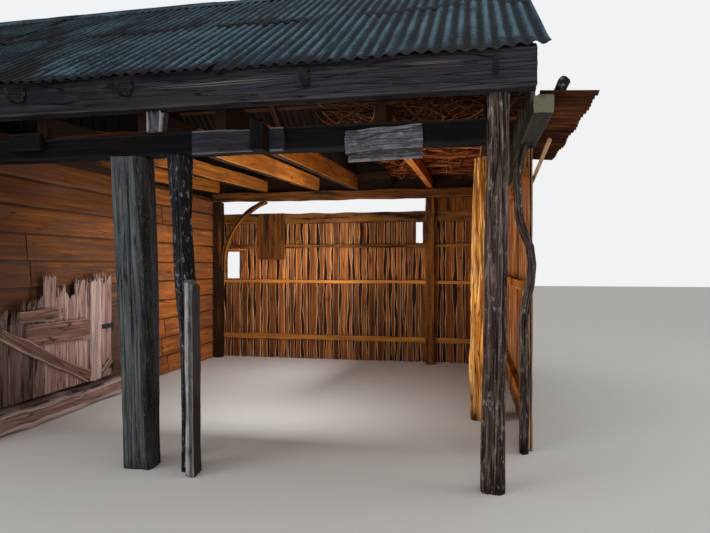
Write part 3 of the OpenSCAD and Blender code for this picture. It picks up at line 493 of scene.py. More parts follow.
# wide lapped boards under cover: orange-brown above, greyer low down from damp and painted shade, with a painted shadow
# under each lap
brownBoard = woodMaterial("brown weatherboard", "#5c3216 #8c4f22 #b57030 #5f4132 #6b4324 #1a0d05 #120904 #4b372d",
    stainShare=0.4, split=0.35, rings=11.0, spread=0.5, wearShare=0.3, weather=0.6, specular=0.12)
# the same boards on the outer walls, where the weather has taken the brown out
weatheredBoard = woodMaterial("weathered weatherboard",
    "#3d322a #65564a #8a7a6b #52493f #9c8d7d #15100c #1c1612 #37302a", stainShare=0.45, split=0.5, rings=11.0,
    spread=0.35, streak=34, run=2.0, weather=0.6)
# waney slabs: rough, red-brown, with pale chipped edges
waneySlab = woodMaterial("waney softwood slab", "#3a1a0a #8b4b20 #c9803c #6a4630 #e8b886 #120803 #8c5d34 #28150c",
    stainShare=0.45, split=0.5, rings=10.0, spread=0.6, wearShare=0.55, specular=0.12, outside=(1, 1, 0),
    greyed="#7d7268")
# rotted gate boards: pinkish grey-brown, pale where worn, black where wet
rottedBoard = woodMaterial("rotted softwood", "#6b4f47 #9c776c #c49e91 #866a62 #e2c8bd #1a110f #a98e83 #251c1a",
    stainShare=0.45, split=0.7, bump=0.9, spread=0.25, streak=34)
# ledge, brace and stile of the gate: redder and darker than its boards, the stile's face worn pale
ledgeWood = woodMaterial("worn red-brown softwood", "#4c3229 #7a5546 #9f7563 #5e443b #e6cfc6 #160e0b #7c6053 #281c18",
    stainShare=0.45, split=0.7, bump=0.9, spread=0.15, streak=34)
# sawn timber, dark on its faces, its cut end pale and slightly green
paleTimber = woodMaterial("pale sawn softwood", "#1c1812 #2a251b #3d382a #221e16 #5f5c49 #0f0d09 #7d7c63 #15110c",
    stainShare=0.4, split=0.4, spread=0.12, wearShare=0.3)


def sheetMaterial(name, undersideRustAndPaintedLight):
    # corrugated steel, once painted: slate grey gone teal-green with lichen, rust at the laps; painted shade in the
    # valleys and towards the left, a painted highlight on the crests
    made, tree, grain, marks, tone = newMaterial(name)
    broad = addNode(tree, "TexNoise", {"Scale": 1.7, "Detail": 6.0, "Roughness": 0.6, "Vector": grain})
    specks = addNode(tree, "TexNoise", {"Scale": 34.0, "Detail": 5.0, "Roughness": 0.8, "Vector": grain})
    runsAt = addNode(tree, "VectorMath", {"operation": "MULTIPLY", 0: grain, 1: (2.2, 16, 1)})
    runs = addNode(tree, "TexNoise", {"Scale": 1.0, "Detail": 5.0, "Roughness": 0.65, "Vector": runsAt})
    rustAt = addNode(tree, "VectorMath", {"operation": "MULTIPLY", 0: grain, 1: (1.3, 2.6, 1)})
    rust = addNode(tree, "TexNoise", {"Scale": 1.0, "Detail": 8.0, "Roughness": 0.68, "Distortion": 0.5,
                                      "Vector": rustAt})
    # lichen: in patches about 0.5 m, brighter on the crests as a painted highlight; rust: purple-brown, up the slope
    lichenAndCrestHighlight, rusting = broad, rust
    for source, share in ((marks[0], 0.55), (specks, 1.3)):
        lichenAndCrestHighlight = addNode(tree, "Math", {"operation": "MULTIPLY_ADD", 0: source, 1: share, 2: lichenAndCrestHighlight})
    # painted shade: the sheet's tone, raised towards the left, adds dark rust patches there
    leftShadeRust = addNode(tree, "Math", {"operation": "MINIMUM", 0: tone, 1: 1.2})
    for source, share in ((leftShadeRust, 0.10), (marks[1], 0.30)):
        rusting = addNode(tree, "Math", {"operation": "MULTIPLY_ADD", 0: source, 1: share, 2: rusting})
    # painted shade: the sheet's tone also darkens the colour towards the left
    lichenAndCrestShare, paleShare, rustShare, valleyShade, leftShade, rough = (
        addNode(tree, "MapRange", dict(enumerate(values))) for values in (
            (lichenAndCrestHighlight, 1.42, 1.82, 0, 0.95), (specks, 0.60, 0.70, 0, 0.6), (rusting, 0.58, 0.70, 0, 0.9),
            (marks[0], 0, 0.7, 0.42, 1), (tone, 0.5, 1.55, 1, 0.42), (specks, 0, 1, 0.55, 0.85)))
    rustShade = addNode(tree, "ValToRGB", {"stops": [(0.3, "#110e14"), (0.55, "#211b21"), (0.8, "#3b2d2b")], 0: specks})
    underRustAndPaintedLight = addNode(tree, "ValToRGB", {"stops": list(zip((0.3, 0.55, 0.8), undersideRustAndPaintedLight)), 0: runs})
    colour = addNode(tree, "ValToRGB", {"stops": [(0.3, "#10171e"), (0.5, "#212f3c"), (0.7, "#364b5d")], 0: runs})
    # painted shade darkens the corrugation valleys; the painted highlight on the crests comes in with the lichen
    for blend, share, tint in (("MIX", lichenAndCrestShare, "#587784"), ("MIX", paleShare, "#8aa4ac"),
                               ("MIX", rustShare, rustShade), ("MULTIPLY", 1.0, valleyShade), ("MULTIPLY", 1.0, leftShade),
                               ("MIX", marks[2], underRustAndPaintedLight)):  # last the underside: rust where the paint is gone, painted dark as shade on the roof and bright as light on the strip
        colour = addNode(tree, "MixRGB", {"blend_type": blend, "Fac": share, "Color1": colour, "Color2": tint})
    relief = addNode(tree, "Math", {"operation": "ADD", 0: specks, 1: rust})
    endMaterial(tree, {"Base Color": colour, "Roughness": rough, "Metallic": 0.1, "Specular IOR Level": 0.1}, relief,
                0.5, 0.003)
    return made


def ironMaterial():
    # wrought iron: black scale gone to brown rust, a bright rubbed edge
    made, tree, grain = newMaterial("wrought iron")[:3]
    pits = addNode(tree, "TexNoise", {"Scale": 90.0, "Detail": 6.0, "Roughness": 0.7, "Vector": grain})
    colour = addNode(tree, "ValToRGB", {"stops": [(0.35, "#080808"), (0.55, "#121011"), (0.72, "#2b1d16")], 0: pits})
    rough = addNode(tree, "MapRange", {0: pits, "To Min": 0.45, "To Max": 0.9})
    endMaterial(tree, {"Base Color": colour, "Roughness": rough, "Metallic": 0.4}, pits, 0.6, 0.002)
    return made


# the roof sheets' underside: rust, painted dark as shade
corrugatedSteel = sheetMaterial("corrugated steel", ("#080503", "#170d07", "#38200f"))
# the strip's underside: the same rust, painted bright as light
litStripSheet = sheetMaterial("corrugated steel with painted lit underside", ("#1a0d06", "#52290f", "#99592a"))
wroughtIron = ironMaterial()
print("materials are made")

# roof sheets: 76.2 mm pitch, eight corrugations to a sheet, two ragged courses up each slope
roof = {"pitch": 0.0762, "depth": 0.0185, "cover": 8, "perWave": 8, "step": 0.11, "thick": 0.0009, "ragged": 0.035,
        "lift": 0.0012, "courses": ((0.0, 1.42), (1.27, 2.57))}
tanPitch, cosPitch = math.tan(hut["pitch"]), math.cos(hut["pitch"])


def addSkins(piece, skins, grain, tone, turned=False):  # thin sheet: its upper and lower skins, and the rim between
    rows, wide = grain.shape[:2]
    upper, lower = (addVerts(piece, points, grain, marks, tone) for points, marks in skins)
    index = np.arange(rows * wide).reshape(rows, wide)
    quads = np.stack([index[:-1, :-1], index[1:, :-1], index[1:, 1:], index[:-1, 1:]], -1).reshape(-1, 4)
    quads = quads[:, ::-1] if turned else quads
    piece["faces"].extend((quads + upper).tolist() + (quads[:, ::-1] + lower).tolist())
    rim = list(index[0]) + list(index[1:, -1]) + list(index[-1, -2::-1]) + list(index[-2:0:-1, 0])
    for a, b in zip(rim, rim[1:] + rim[:1]):
        piece["faces"].append([int(upper + a), int(upper + b), int(lower + b), int(lower + a)])


def addSheet(piece, place, length, width, seed, ragged, tone):  # X runs up the sheet, Y across it, Z out of it
    noise = makeNoise(seed)
    t = np.linspace(0, 1, max(3, int(length / roof["step"]) + 2))[:, None]
    y = np.linspace(0, width, max(4, int(round(width / roof["pitch"] * roof["perWave"]))) + 1)[None]
    lowEdge = ragged * noise(np.stack([y[0] * 6, y[0] * 0 + 3, y[0] * 0], -1))[None]
    x = lowEdge * (1 - t) ** 8 + t * length + 0 * y
    y = y + 0 * x
    wave = 0.5 + 0.5 * np.cos(2 * math.pi * (y / roof["pitch"]))
    dents = 0.0022 * noise(np.stack([x * 2.3, y * 5, 0 * x], -1))
    curl = 0.006 * np.clip(1 - x / 0.25, 0, 1) ** 2 * noise(np.stack([x * 0 + 1, y * 2.5, 0 * x + 8], -1))
    z = wave * roof["depth"] + 0.001 + dents + curl
    origin, ax, ay, az = place
    skins = [(origin + x[..., None] * ax + y[..., None] * ay + (z + out)[..., None] * az,
              np.stack([wave, np.clip(1 - x / 0.22, 0, 1) ** 2, 0 * x + (not out)], -1))
             for out in (roof["thick"], 0.0)]
    addSkins(piece, skins, np.stack([x + seed * 1.7, y + seed * 0.37, 0 * x], -1), tone,
             turned=np.dot(np.cross(ax, ay), az) <= 0)


def slopePlace(rear, x, along):  # a frame on a roof slope: X up the slope, Y along the eave, Z out
    turn = 1 if rear else -1
    upSlope = np.array([0, -turn * cosPitch, math.sin(hut["pitch"])])
    out = np.array([0, turn * math.sin(hut["pitch"]), cosPitch])
    return np.array([x, turn * hut["eaveRun"], hut["eaveZ"]]) + along * upSlope, upSlope, -right, out


def makeSlope(name, node, rear, seed):
    piece, draw = newPiece(), np.random.default_rng(seed)
    cover = roof["cover"] * roof["pitch"]
    for course, (low, high) in enumerate(roof["courses"]):
        x, count = hut["verges"][1], 0
        while x > hut["verges"][0] + 0.05:
            width = min(cover + roof["pitch"], x - hut["verges"][0])
            start = low + (draw.uniform(-0.05, 0.05) if course else draw.uniform(-0.008, 0.012))
            origin, *turned = slopePlace(rear, x, start)
            lift = turned[2] * (roof["lift"] * (count % 2) + roof["lift"] * 1.6 * course)
            # each sheet's tone: random, plus painted shade that darkens and rusts the sheets towards the left
            addSheet(piece, (origin + lift, *turned), high - start, width, int(draw.integers(1, 900)),
                     roof["ragged"] * (1.0 if course else 0.25), draw.uniform(0, 0.6) + 0.65 * max(0, 1.7 - x))
            x -= cover
            count += 1
    finishPiece(piece, name, corrugatedSteel, node, sharp=60)


makeSlope("front_roof_sheets", "front_sheets", False, 17)
makeSlope("rear_roof_sheets", "rear_sheets", True, 31)

# ridge cap: folded sheet in lengths of about 1.8 m that lap, with a rolled crown
cap = {"length": 1.83, "lap": 0.12, "wing": 0.16, "crown": 0.022, "thick": 0.0015, "rows": 14, "seed": 60}
ridgeCap = newPiece()
x, count = hut["verges"][0], 0
wing = [-cap["wing"] + i * 0.026 for i in range(6)]
arc = np.linspace(math.pi, 0, 9)
capY = np.array(wing + [cap["crown"] * math.cos(a) for a in arc] + [-y for y in wing[::-1]])
capZ = [y * tanPitch - 0.004 for y in wing]
capZ = np.array(capZ + [cap["crown"] * math.sin(a) - 0.020 for a in arc] + capZ[::-1])
while x < hut["verges"][1] - 0.2:
    end = min(x + cap["length"], hut["verges"][1])
    along = np.linspace(x, end, cap["rows"])[:, None] + 0 * capY
    y, z = capY + 0 * along, capZ + cadNode["ridge_cap"][1][2] + 0 * along
    dent = 0.003 * makeNoise(cap["seed"] + count)(np.stack([along * 3, y * 9, 0 * along], -1))
    marks = np.stack([0.7 + 0 * along, 0 * along, 0 * along], -1)
    skins = [(np.stack([along, y, z + dent + 0.0012 * (count % 2) + out - 0.002], -1), marks)
             for out in (cap["thick"], 0.0)]
    addSkins(ridgeCap, skins, np.stack([y + 3 * count, along, 0 * along], -1), 0.3 + 0.3 * (count % 2))
    x = end - cap["lap"] if end < hut["verges"][1] else end
    count += 1
finishPiece(ridgeCap, "ridge_capping", corrugatedSteel, "ridge_cap", sharp=60)
print("roof sheets are laid")

# roof timbers
roofTimber = {"rafterT": 0.05, "rafterD": 0.10, "purlin": 0.05, "ridgeT": 0.032, "gableT": 0.025, "beamIn": 2.015}
rafterHalf = roofTimber["rafterT"] / 2 + 0.0003
rafterX = [hut["storeX"] + roofTimber["gableT"] + rafterHalf, (hut["storeX"] + hut["wallX"]) / 2,
           hut["wallX"] - roofTimber["gableT"] - rafterHalf, hut["wallX"] + hut["bay"] * 0.34,
           hut["wallX"] + hut["bay"] * 0.69, hut["sideX"] - rafterHalf]
depth = -(roofTimber["purlin"] + roofTimber["rafterD"] / 2)
lowReach, highReach = ((hut["eaveRun"] - run) / cosPitch for run in (roofTimber["beamIn"], roofTimber["ridgeT"] / 2))
rafters, purlins = newPiece(), newPiece()
for i, x in enumerate(rafterX):
    for rear in (False, True):  # both ends are cut plumb, so they meet the beam and the ridge board squarely
        origin, upSlope, _, out = slopePlace(rear, x, 0)
        addTimber(rafters, (origin + out * depth, upSlope, out, np.cross(upSlope, out)),
                  (1.0, roofTimber["rafterD"], roofTimber["rafterT"]), 200 + i * 2 + rear, step=0.05, ends=0.0,
                  reach=lambda y: highReach + (y + depth) * tanPitch,
                  reachLow=lambda y: lowReach + (y + depth) * tanPitch, cuts=(2, 2), round=0.005, rough=0.0015,
                  foot=0.9)
finishPiece(rafters, "rafter_pairs", smokedSoftwood, "rafters")
for i in range(4):
    for rear in (False, True):
        along = 0.70 + i * (hut["slope"] - 0.85) / 3 + roofTimber["purlin"] / 2
        origin, upSlope, _, out = slopePlace(rear, hut["verges"][1] - 0.015, along)
        addTimber(purlins, axes(origin - out * roofTimber["purlin"] / 2, -right, upSlope),
                  (hut["verges"][1] - hut["verges"][0] - 0.03, roofTimber["purlin"], roofTimber["purlin"]),
                  300 + i * 2 + rear, step=0.16, cuts=(1, 1), round=0.006, rough=0.0015, ends=0.004)
finishPiece(purlins, "purlin_battens", smokedSoftwood, "purlins")

# eave beams: bevelled on top to carry the sheets; the front one has long splits and a dark cut end
eave = {"deep": 0.10, "mid": 2.065, "out": 2.115}


def makeEaveBeam(name, node, turn, seed, cracks, material):
    low, high = cadNode[node]
    piece = newPiece()
    slant = tanPitch * eave["deep"]
    tall = high[2] - slant - low[2]
    place = axes((low[0], turn * eave["mid"], (low[2] + (high[2] - slant)) / 2), right, up)
    addTimber(piece, place, (high[0] - low[0], tall, eave["deep"]), seed, step=0.05, cuts=(6, 3), cracks=cracks,
              round=0.007, rough=0.0022, ends=0.005, tone=0.5, edgeWear=0.15, crackWear=1.0,
              toneRun=([0, 3.0, 3.7, 4.6], [-0.5, -0.95, -0.85, 0]))
    for block in piece["points"]:  # the bevel: points near the top follow the sheets up towards the ridge
        share = np.clip((block[:, 2] - low[2]) / tall, 0, 1) ** 6
        block[:, 2] += share * ((turn * eave["out"] - block[:, 1]) * turn / eave["deep"]) * slant
    finishPiece(piece, name, material, node)


makeEaveBeam("front_eave_beam", "eave_beam_front", -1, 51, [
    (2, 0.43, 0.635, 0.80, 0.016, 0.020, 0.05), (2, 0.20, 0.88, 0.95, 0.008, 0.012, 0.03)], sawnOak)
makeEaveBeam("rear_eave_beam", "eave_beam_rear", 1, 52, [], smokedSoftwood)

gables = newPiece()
gable = {"at": (2.96, -0.725, -3.05), "widths": (0.13, 0.24), "damp": (0.25, 2.6, 0.25), "seed": 70}
foot, inner = hut["wallTop"], hut["rearIn"]
for g, x in enumerate(gable["at"]):
    draw = np.random.default_rng(gable["seed"] + g)
    y = -inner
    while y < inner - 0.03:
        width = min(draw.uniform(*gable["widths"]), inner - y)
        if inner - y - width < 0.06:
            width = inner - y
        middle = y + width / 2
        tall = hut["eaveZ"] + (hut["eaveRun"] - abs(middle)) * tanPitch - roofTimber["purlin"] / cosPitch - foot
        lean = -tanPitch if middle > 0 else tanPitch
        addTimber(gables, axes((x + roofTimber["gableT"] / 2, middle, foot), up, back), (tall, width - 0.004, 0.023),
                  700 + int(draw.integers(0, 900)), step=0.12, cuts=(5, 1), wane=0.007, rough=0.0015,
                  reach=lambda v: tall + v * lean - 0.002, damp=gable["damp"][g])
        y += width
finishPiece(gables, "gable_boards", gableWood, "gables")
print("roof timbers are set")

# pieces that are one squared timber each and fill their node's box: the ridge, the front beam, the facing
# board on it, the stub that stands on it, the plates of the back and side walls, and the log under the gate
for name, material, node, slot, along, seed, look in (
        ("ridge_timber", smokedSoftwood, "ridge_board", "inside_timber", 0, 41, dict(step=0.16, cuts=(2, 1))),
        ("front_beam_timber", tarredSoftwood, "front_beam", "dark_beam", 0, 81, dict(
            step=0.06, cuts=(4, 4), round=0.009, rough=0.003, wane=0.004, tone=0.5,
            cracks=[(0, 0.5, 0.3, 0.6, 0.006, 0.05, 0.05)])),
        ("facing_plank", greyedBoard, "facing_board", "grey_board", 0, 85, dict(
            step=0.03, cuts=(2, 5), rough=0.002, wane=0.002, tone=0.15, ends=0.006)),
        ("stub_upright", streakedPost, "stub_post", "grey_board", 2, 88, dict(
            step=0.02, cuts=(8, 4), rough=0.005, wane=0.01, ends=0.012, round=0.012, tone=0.7)),
        ("rear_wall_plate", drySoftwood, "rear_plate", "inside_timber", 0, 121, dict(
            cuts=(4, 4), round=0.009, rough=0.003, wane=0.006, tone=0.2, damp=0.9)),
        ("side_wall_plate", paleTimber, "side_plate", "pale_timber", 1, 122, dict(
            step=0.08, cuts=(3, 3), round=0.006, rough=0.002, tone=0.5)),
        # painted shade on the sill's top face, in the stain colour
        ("sill_timber", rottedBoard, "sill_log", "gate_wood", 1, 271, dict(
            step=0.03, cuts=(8, 8), round=0.045, rough=0.006, wane=0.012, ends=0.012, tone=0.5, heart=(0.0, 0.0),
            faceDamp={1: 0.9}))):
    boxPiece(name, material, node, slot, [(*cadNode[node], along, seed, look)])

# what else is nailed to the front beam
boxPiece("beam_face_blocks", tarredSoftwood, "beam_blocks", "dark_beam", [
    # painted warm light: the block's right face is tinted brown in the stain colour
    ((1.447, -2.185, 1.855), (1.525, -2.075, 2.03), 2, 83, dict(
        step=0.02, cuts=(5, 6), round=0.005, reach=lambda v: 0.160 - v * 0.36, faceDamp={1: 0.9}, edgeWear=0.7)),
    ((-0.175, -2.09, 1.925), (0.05, -2.05, 2.03), 0, 84, dict(step=0.03, cuts=(3, 2), round=0.006))],
    rough=0.002, tone=0.9)

nailed = newPiece()
tilt = math.radians(1.6)
low = np.array([1.965, -2.0625, 1.785])
run, rise = np.array([math.cos(tilt), 0, math.sin(tilt)]), np.array([-math.sin(tilt), 0, math.cos(tilt)])
# the upper board is chipped along its lower edge, the strip under it is smoother, its top painted dark as the upper
# board's shadow
addTimber(nailed, axes(low + rise * (0.053 + 0.065), run, rise), (0.43, 0.130, 0.025), 86, step=0.012, cuts=(3, 12),
          rough=0.0035, wane=0.006, ends=0.004, tone=0.3, round=0.003, pale=(2, 0.70, 0.90, 0.5), edgeWear=0.35)
addTimber(nailed, axes(low + rise * 0.029 + run * 0.012 + back * 0.004, run, rise), (0.415, 0.058, 0.015), 87,
          step=0.02, cuts=(2, 8), rough=0.001, wane=0.002, ends=0.004, tone=0.1, lap=0.35, edgeWear=0.3)
finishPiece(nailed, "nailed_grey_boards", silveredBoard, "nailed_boards")

# gutter irons on both eaves: half-round arms with a strap up the beam's face, bolted twice
irons = newPiece()
iron = {"at": [-0.055, 0.667, 1.75, 2.755], "wide": 0.026, "thick": 0.0055, "mid": (-2.187, 2.262), "round": 0.0692,
        "strap": (2.275, 2.29, 2.307), "bolts": (2.245, 2.292)}
square = [(-1, -1), (1, -1), (1, 1), (-1, 1)]
bend = [(iron["mid"][0] + iron["round"] * math.cos(a), iron["mid"][1] + iron["round"] * math.sin(a))
        for a in np.linspace(-math.pi, 0, 15)] + [(-2.118, z) for z in iron["strap"]]
for i, x in enumerate(iron["at"] * 2):
    turn = -1 if i < 4 else 1
    rings, grains = [], []
    for k, (y, z) in enumerate(bend):
        before, after = bend[max(k - 1, 0)], bend[min(k + 1, len(bend) - 1)]
        tangent = np.array([0, after[0] - before[0], after[1] - before[1]])
        normal = np.cross(tangent / np.linalg.norm(tangent), right)
        half = iron["wide"] / 2 * (0.55 if k == 0 else 1)
        ring = [np.array([x + 0.013, y, z]) + right * half * a + normal * iron["thick"] / 2 * b for a, b in square]
        rings.append([[p[0], -turn * p[1], p[2]] for p in ring][::-turn])
        grains.append([[k * 0.02 + i, a * 0.013, b * 0.003] for a, b in square])
    addSweep(irons, np.array(rings), np.array(grains, float), np.zeros((len(rings), 4, 3)), 0.5)
    for z in iron["bolts"]:
        addTube(irons, [(x + 0.013, turn * 2.120, z), (x + 0.013, turn * 2.131, z)], [0.010, 0.009], i)
finishPiece(irons, "gutter_irons", wroughtIron, "eave_irons")
print("front beam and its boards are set")

# posts, each on the frame's own middle line
# a row: node, material, slot, foot, height, bends (sideways, back, share of the height), radius, its shares, look
frontPosts = {
    "hewn_front_post": ("big_post", hewnOak, "big_post_wood", (0.65, -1.99), 1.87,
                        [(0.032, 0, 0), (0.013, 0, 0.4), (-0.006, 0, 0.7), (-0.036, 0, 1)], 0.0955,
                        (0.97, 1.00, 1.07, 1.07), dict(
        squared=True, sides=132, cadSeed=2, ridges=0.003, lumps=0.003, step=0.016, ridgeCount=22, deep=0.86,
        sideDamp=1.0, tones=([0, 0.5, 1.0, 1.4, 1.87], [0.62, 0.45, 0.35, 0.55, 0.85]), cracks=[
            (-1.55, 0.7, 1.86, 0.020, 0.005, 0.05), (-1.95, 1.2, 1.86, 0.010, 0.004, 0.04),
            (-1.30, 0.1, 0.9, 0.010, 0.004, 0.05), (-0.35, 0.3, 1.5, 0.012, 0.006, 0.10),
            (1.3, 0.1, 1.6, 0.014, 0.006, 0.10)])),
    "thin_front_post": ("thin_post", oldPost, "dark_post_wood", (0.963, -1.99), 1.87,
                        [(0.035, 0, 0), (0.027, 0, 0.43), (0.001, 0, 0.6), (-0.023, 0, 0.8), (-0.037, 0, 1)], 0.036,
                        (1.02, 1.04, 1.08, 1.02, 1.36), dict(
        squared=True, sides=90, cadSeed=5, ridges=0.003, lumps=0.003, step=0.016, ridgeCount=12, deep=1.7, sideDamp=1.0,
        cracks=[(-1.45, 0.1, 1.8, 0.010, 0.004, 0.12), (-0.2, 0.9, 1.8, 0.010, 0.005, 0.1)])),
    "corner_front_post": ("corner_post", flakedBark, "dark_post_wood", (2.77, -1.99), 2.135, [
        (-0.006, 0, 0), (0.004, -0.006, 0.33), (0.013, 0.004, 0.63), (0.019, 0, 0.85), (0.013, 0, 1)], 0.064,
                          (1.0, 0.96, 1, 1.0, 1), dict(
        sides=90, cadSeed=3, ridges=0.009, lumps=0.005, step=0.018, ridgeCount=14,
        tones=([0, 0.9, 1.3, 2.1], [0.1, 0.3, 0.9, 0.5]),
        cracks=[(-1.9, 0.0, 1.7, 0.012, 0.006, 0.15), (-1.0, 0.4, 2.1, 0.012, 0.006, 0.15)])),
    "bark_covered_post": ("bark_post", barkSkin, "bark", (2.75, -0.50), cadNode["bark_post"][1][2],
                          [(0.012, 0, 0), (-0.008, 0, 0.25), (0.010, 0, 0.55), (0, 0, 0.8), (0, 0, 1)], 0.100,
                          (1.08, 1, 1.05, 0.95, 0.95), dict(
        sides=96, cadSeed=4, ridges=0.016, lumps=0.008, step=0.02, ridgeCount=20, tone=0.85)),
    "crooked_side_trunk": ("side_trunk", flakedBark, "bark", (3.01, -1.30), 2.0, [
        (-0.030, 0, 0), (-0.030, 0, 0.42), (-0.008, 0, 0.5), (0.015, 0, 0.55), (0.022, 0, 0.61), (0.006, 0, 0.67),
        (-0.028, 0, 0.71), (-0.060, 0, 0.76), (-0.076, 0, 0.89), (-0.036, 0, 1)], 0.029,
        [1.08 - 0.16 * k for k in (0, 0.42, 0.5, 0.55, 0.61, 0.67, 0.71, 0.76, 0.89, 1)], dict(
        sides=60, cadSeed=6, ridges=0.006, lumps=0.004, step=0.014, ridgeCount=10, tone=-0.3))}
for name, (node, material, slot, (x, y), height, bends, radius, shares, look) in frontPosts.items():
    piece = newPiece()
    addLog(piece, [(x + dx, y + dy, height * share) for dx, dy, share in bends], [radius * k for k in shares],
           len(name) + 40, **look)
    finishPiece(piece, name, material, node, sharp=50)

shortPost = newPiece()
low, high = cadNode["short_post"]
foot = ((low[0] + high[0]) / 2 + 0.008, (low[1] + high[1]) / 2, 0)
# painted shade: the post's right face is darkened to brown in the stain colour
addTimber(shortPost, axes(foot, (-0.008, 0, 1), right), (1.138, *(high - low)[:2]), 91, step=0.016, cuts=(10, 8),
          round=0.006, rough=0.002, wane=0.002, ends=0.008, tone=0.6, reach=lambda v: 1.138 - v * 0.5 - 0.014,
          faceDamp={1: 1.7}, edgeWear=0.3, crackWear=0.4, pale=(0, 0.04, 0.45, 1.1),
          cracks=[(0, 0.62, 0.05, 0.95, 0.010, 0.05, 0.08)])
finishPiece(shortPost, "short_front_post", streakedPost, "short_post")
boxPiece("squared_wall_posts", drySoftwood, "wall_posts", "inside_timber", [
    ((-0.80, -2.05, 0), (-0.70, -1.93, 1.87), 2, 93, dict(damp=1.3)),
    ((-0.70, 1.93, 0), (-0.59, 2.05, 2.045), 2, 94, dict(damp=1.5)),
    ((2.09, 1.93, 0), (2.20, 2.05, 2.045), 2, 95, dict(damp=0.8)),
    ((2.90, 1.93, 0), (3.01, 2.05, 2.045), 2, 96, dict(damp=0.6))],
    step=0.08, cuts=(4, 4), round=0.008, rough=0.002, wane=0.003, tone=0.3)
print("posts are stood")

# ceiling joists: place along the bay, thickness, depth, wane, tone, and how far from the front they are dark
joist = {"front": -2.0147, "lastFront": -1.9004, "rear": 2.0, "low": 2.005, "lowRear": 2.165, "rows": (
    (0.035, 0.070, 0.150, 0.001, 0.45, 2.2), (0.70, 0.075, 0.150, 0.003, 0.35, 1.5),
    (1.40, 0.070, 0.170, 0.001, 0.95, 0.85), (1.90, 0.070, 0.185, 0.002, 1.0, 0.80),
    (2.85, 0.060, 0.120, 0.003, 0.9, 0.35), (3.45, 0.070, 0.120, 0.003, 0.6, 0.4))}
joistRise = (joist["lowRear"] - joist["low"]) / (hut["rearIn"] - joist["front"])
joists = newPiece()


def joistLow(y):  # the joists' underside climbs towards the back
    return joist["low"] + (y + 2.015) * joistRise


for i, (x, thick, deep, wane, tone, dark) in enumerate(joist["rows"]):
    front = joist["front"] if i < 5 else joist["lastFront"]
    place = axes((hut["wallX"] + x, front, joistLow(front) + deep / 2), (0, 1, joistRise), up)
    # painted shade: the undersides of all but the fifth joist are darkened in the stain colour
    addTimber(joists, place, ((joist["rear"] - front) * math.hypot(1, joistRise) - 0.004, deep, thick), 110 + i,
              step=0.07, cuts=(3, 5), round=0.005, rough=0.0016, wane=wane, ends=0.004, tone=tone, foot=dark,
              faceDamp={3: 1.5} if i != 4 else {})
finishPiece(joists, "ceiling_joists", drySoftwood, "joists")

# knee brace: a naturally curved stick, swept along an arc between the wall post and the plate
brace = {"run": 0.530, "drop": 0.890, "radius": 0.900, "wide": 0.058, "thick": 0.070, "foot": (-0.59, 1.99, 2.045),
         "turn": (184.6, 101.5), "rings": 44}
kneeBrace, noise = newPiece(), makeNoise(77)
chord = math.hypot(brace["run"], brace["drop"])
offset = math.sqrt(brace["radius"] ** 2 - chord ** 2 / 4)
hub = np.array(brace["foot"]) + [brace["run"] / 2 + offset * brace["drop"] / chord, 0,
                                 -brace["drop"] / 2 - offset * brace["run"] / chord]
outline = [(-1, -1), (0, -1), (1, -1), (1, 0), (1, 1), (0, 1), (-1, 1), (-1, 0)]
corner = np.array([abs(a) + abs(b) == 2 for a, b in outline])
rings, grains = [], []
for k, angle in enumerate(np.linspace(*np.radians(brace["turn"]), brace["rings"])):
    outward = np.array([math.cos(angle), 0, math.sin(angle)])
    centre = hub + outward * (brace["radius"] - brace["wide"] / 2)
    swell = 1 + 0.10 * float(noise(np.array([k * 0.35, 0, 0])))
    rings.append([centre + back * b * brace["thick"] / 2 * soft + outward * -a * brace["wide"] / 2 * swell * soft
                  for (a, b), soft in zip(outline, np.where(corner, 0.93, 1.0))])
    grains.append([[k * 0.032, a * 0.03, b * 0.035 + 0.05] for a, b in outline])
rings = np.array(rings)
rings[..., 0] = np.clip(rings[..., 0], brace["foot"][0] + 0.0005, brace["foot"][0] + brace["run"] + 1.5 * brace["wide"])
rings[..., 2] = np.minimum(rings[..., 2], brace["foot"][2] - 0.0005)
marks = np.zeros(rings.shape)
marks[..., 0], marks[..., 2] = corner, np.where(corner, 0.2, 1.6)
addSweep(kneeBrace, rings, np.array(grains, float), marks, 0.7)
finishPiece(kneeBrace, "curved_knee_brace", drySoftwood, "knee_brace")
print("joists, plates and brace are set")

# lapped board walls: rows of wide boards with butt joints, on a flat inside lining
lapped = {"thick": 0.020, "over": 0.028, "lining": 0.016, "liningH": 0.22}


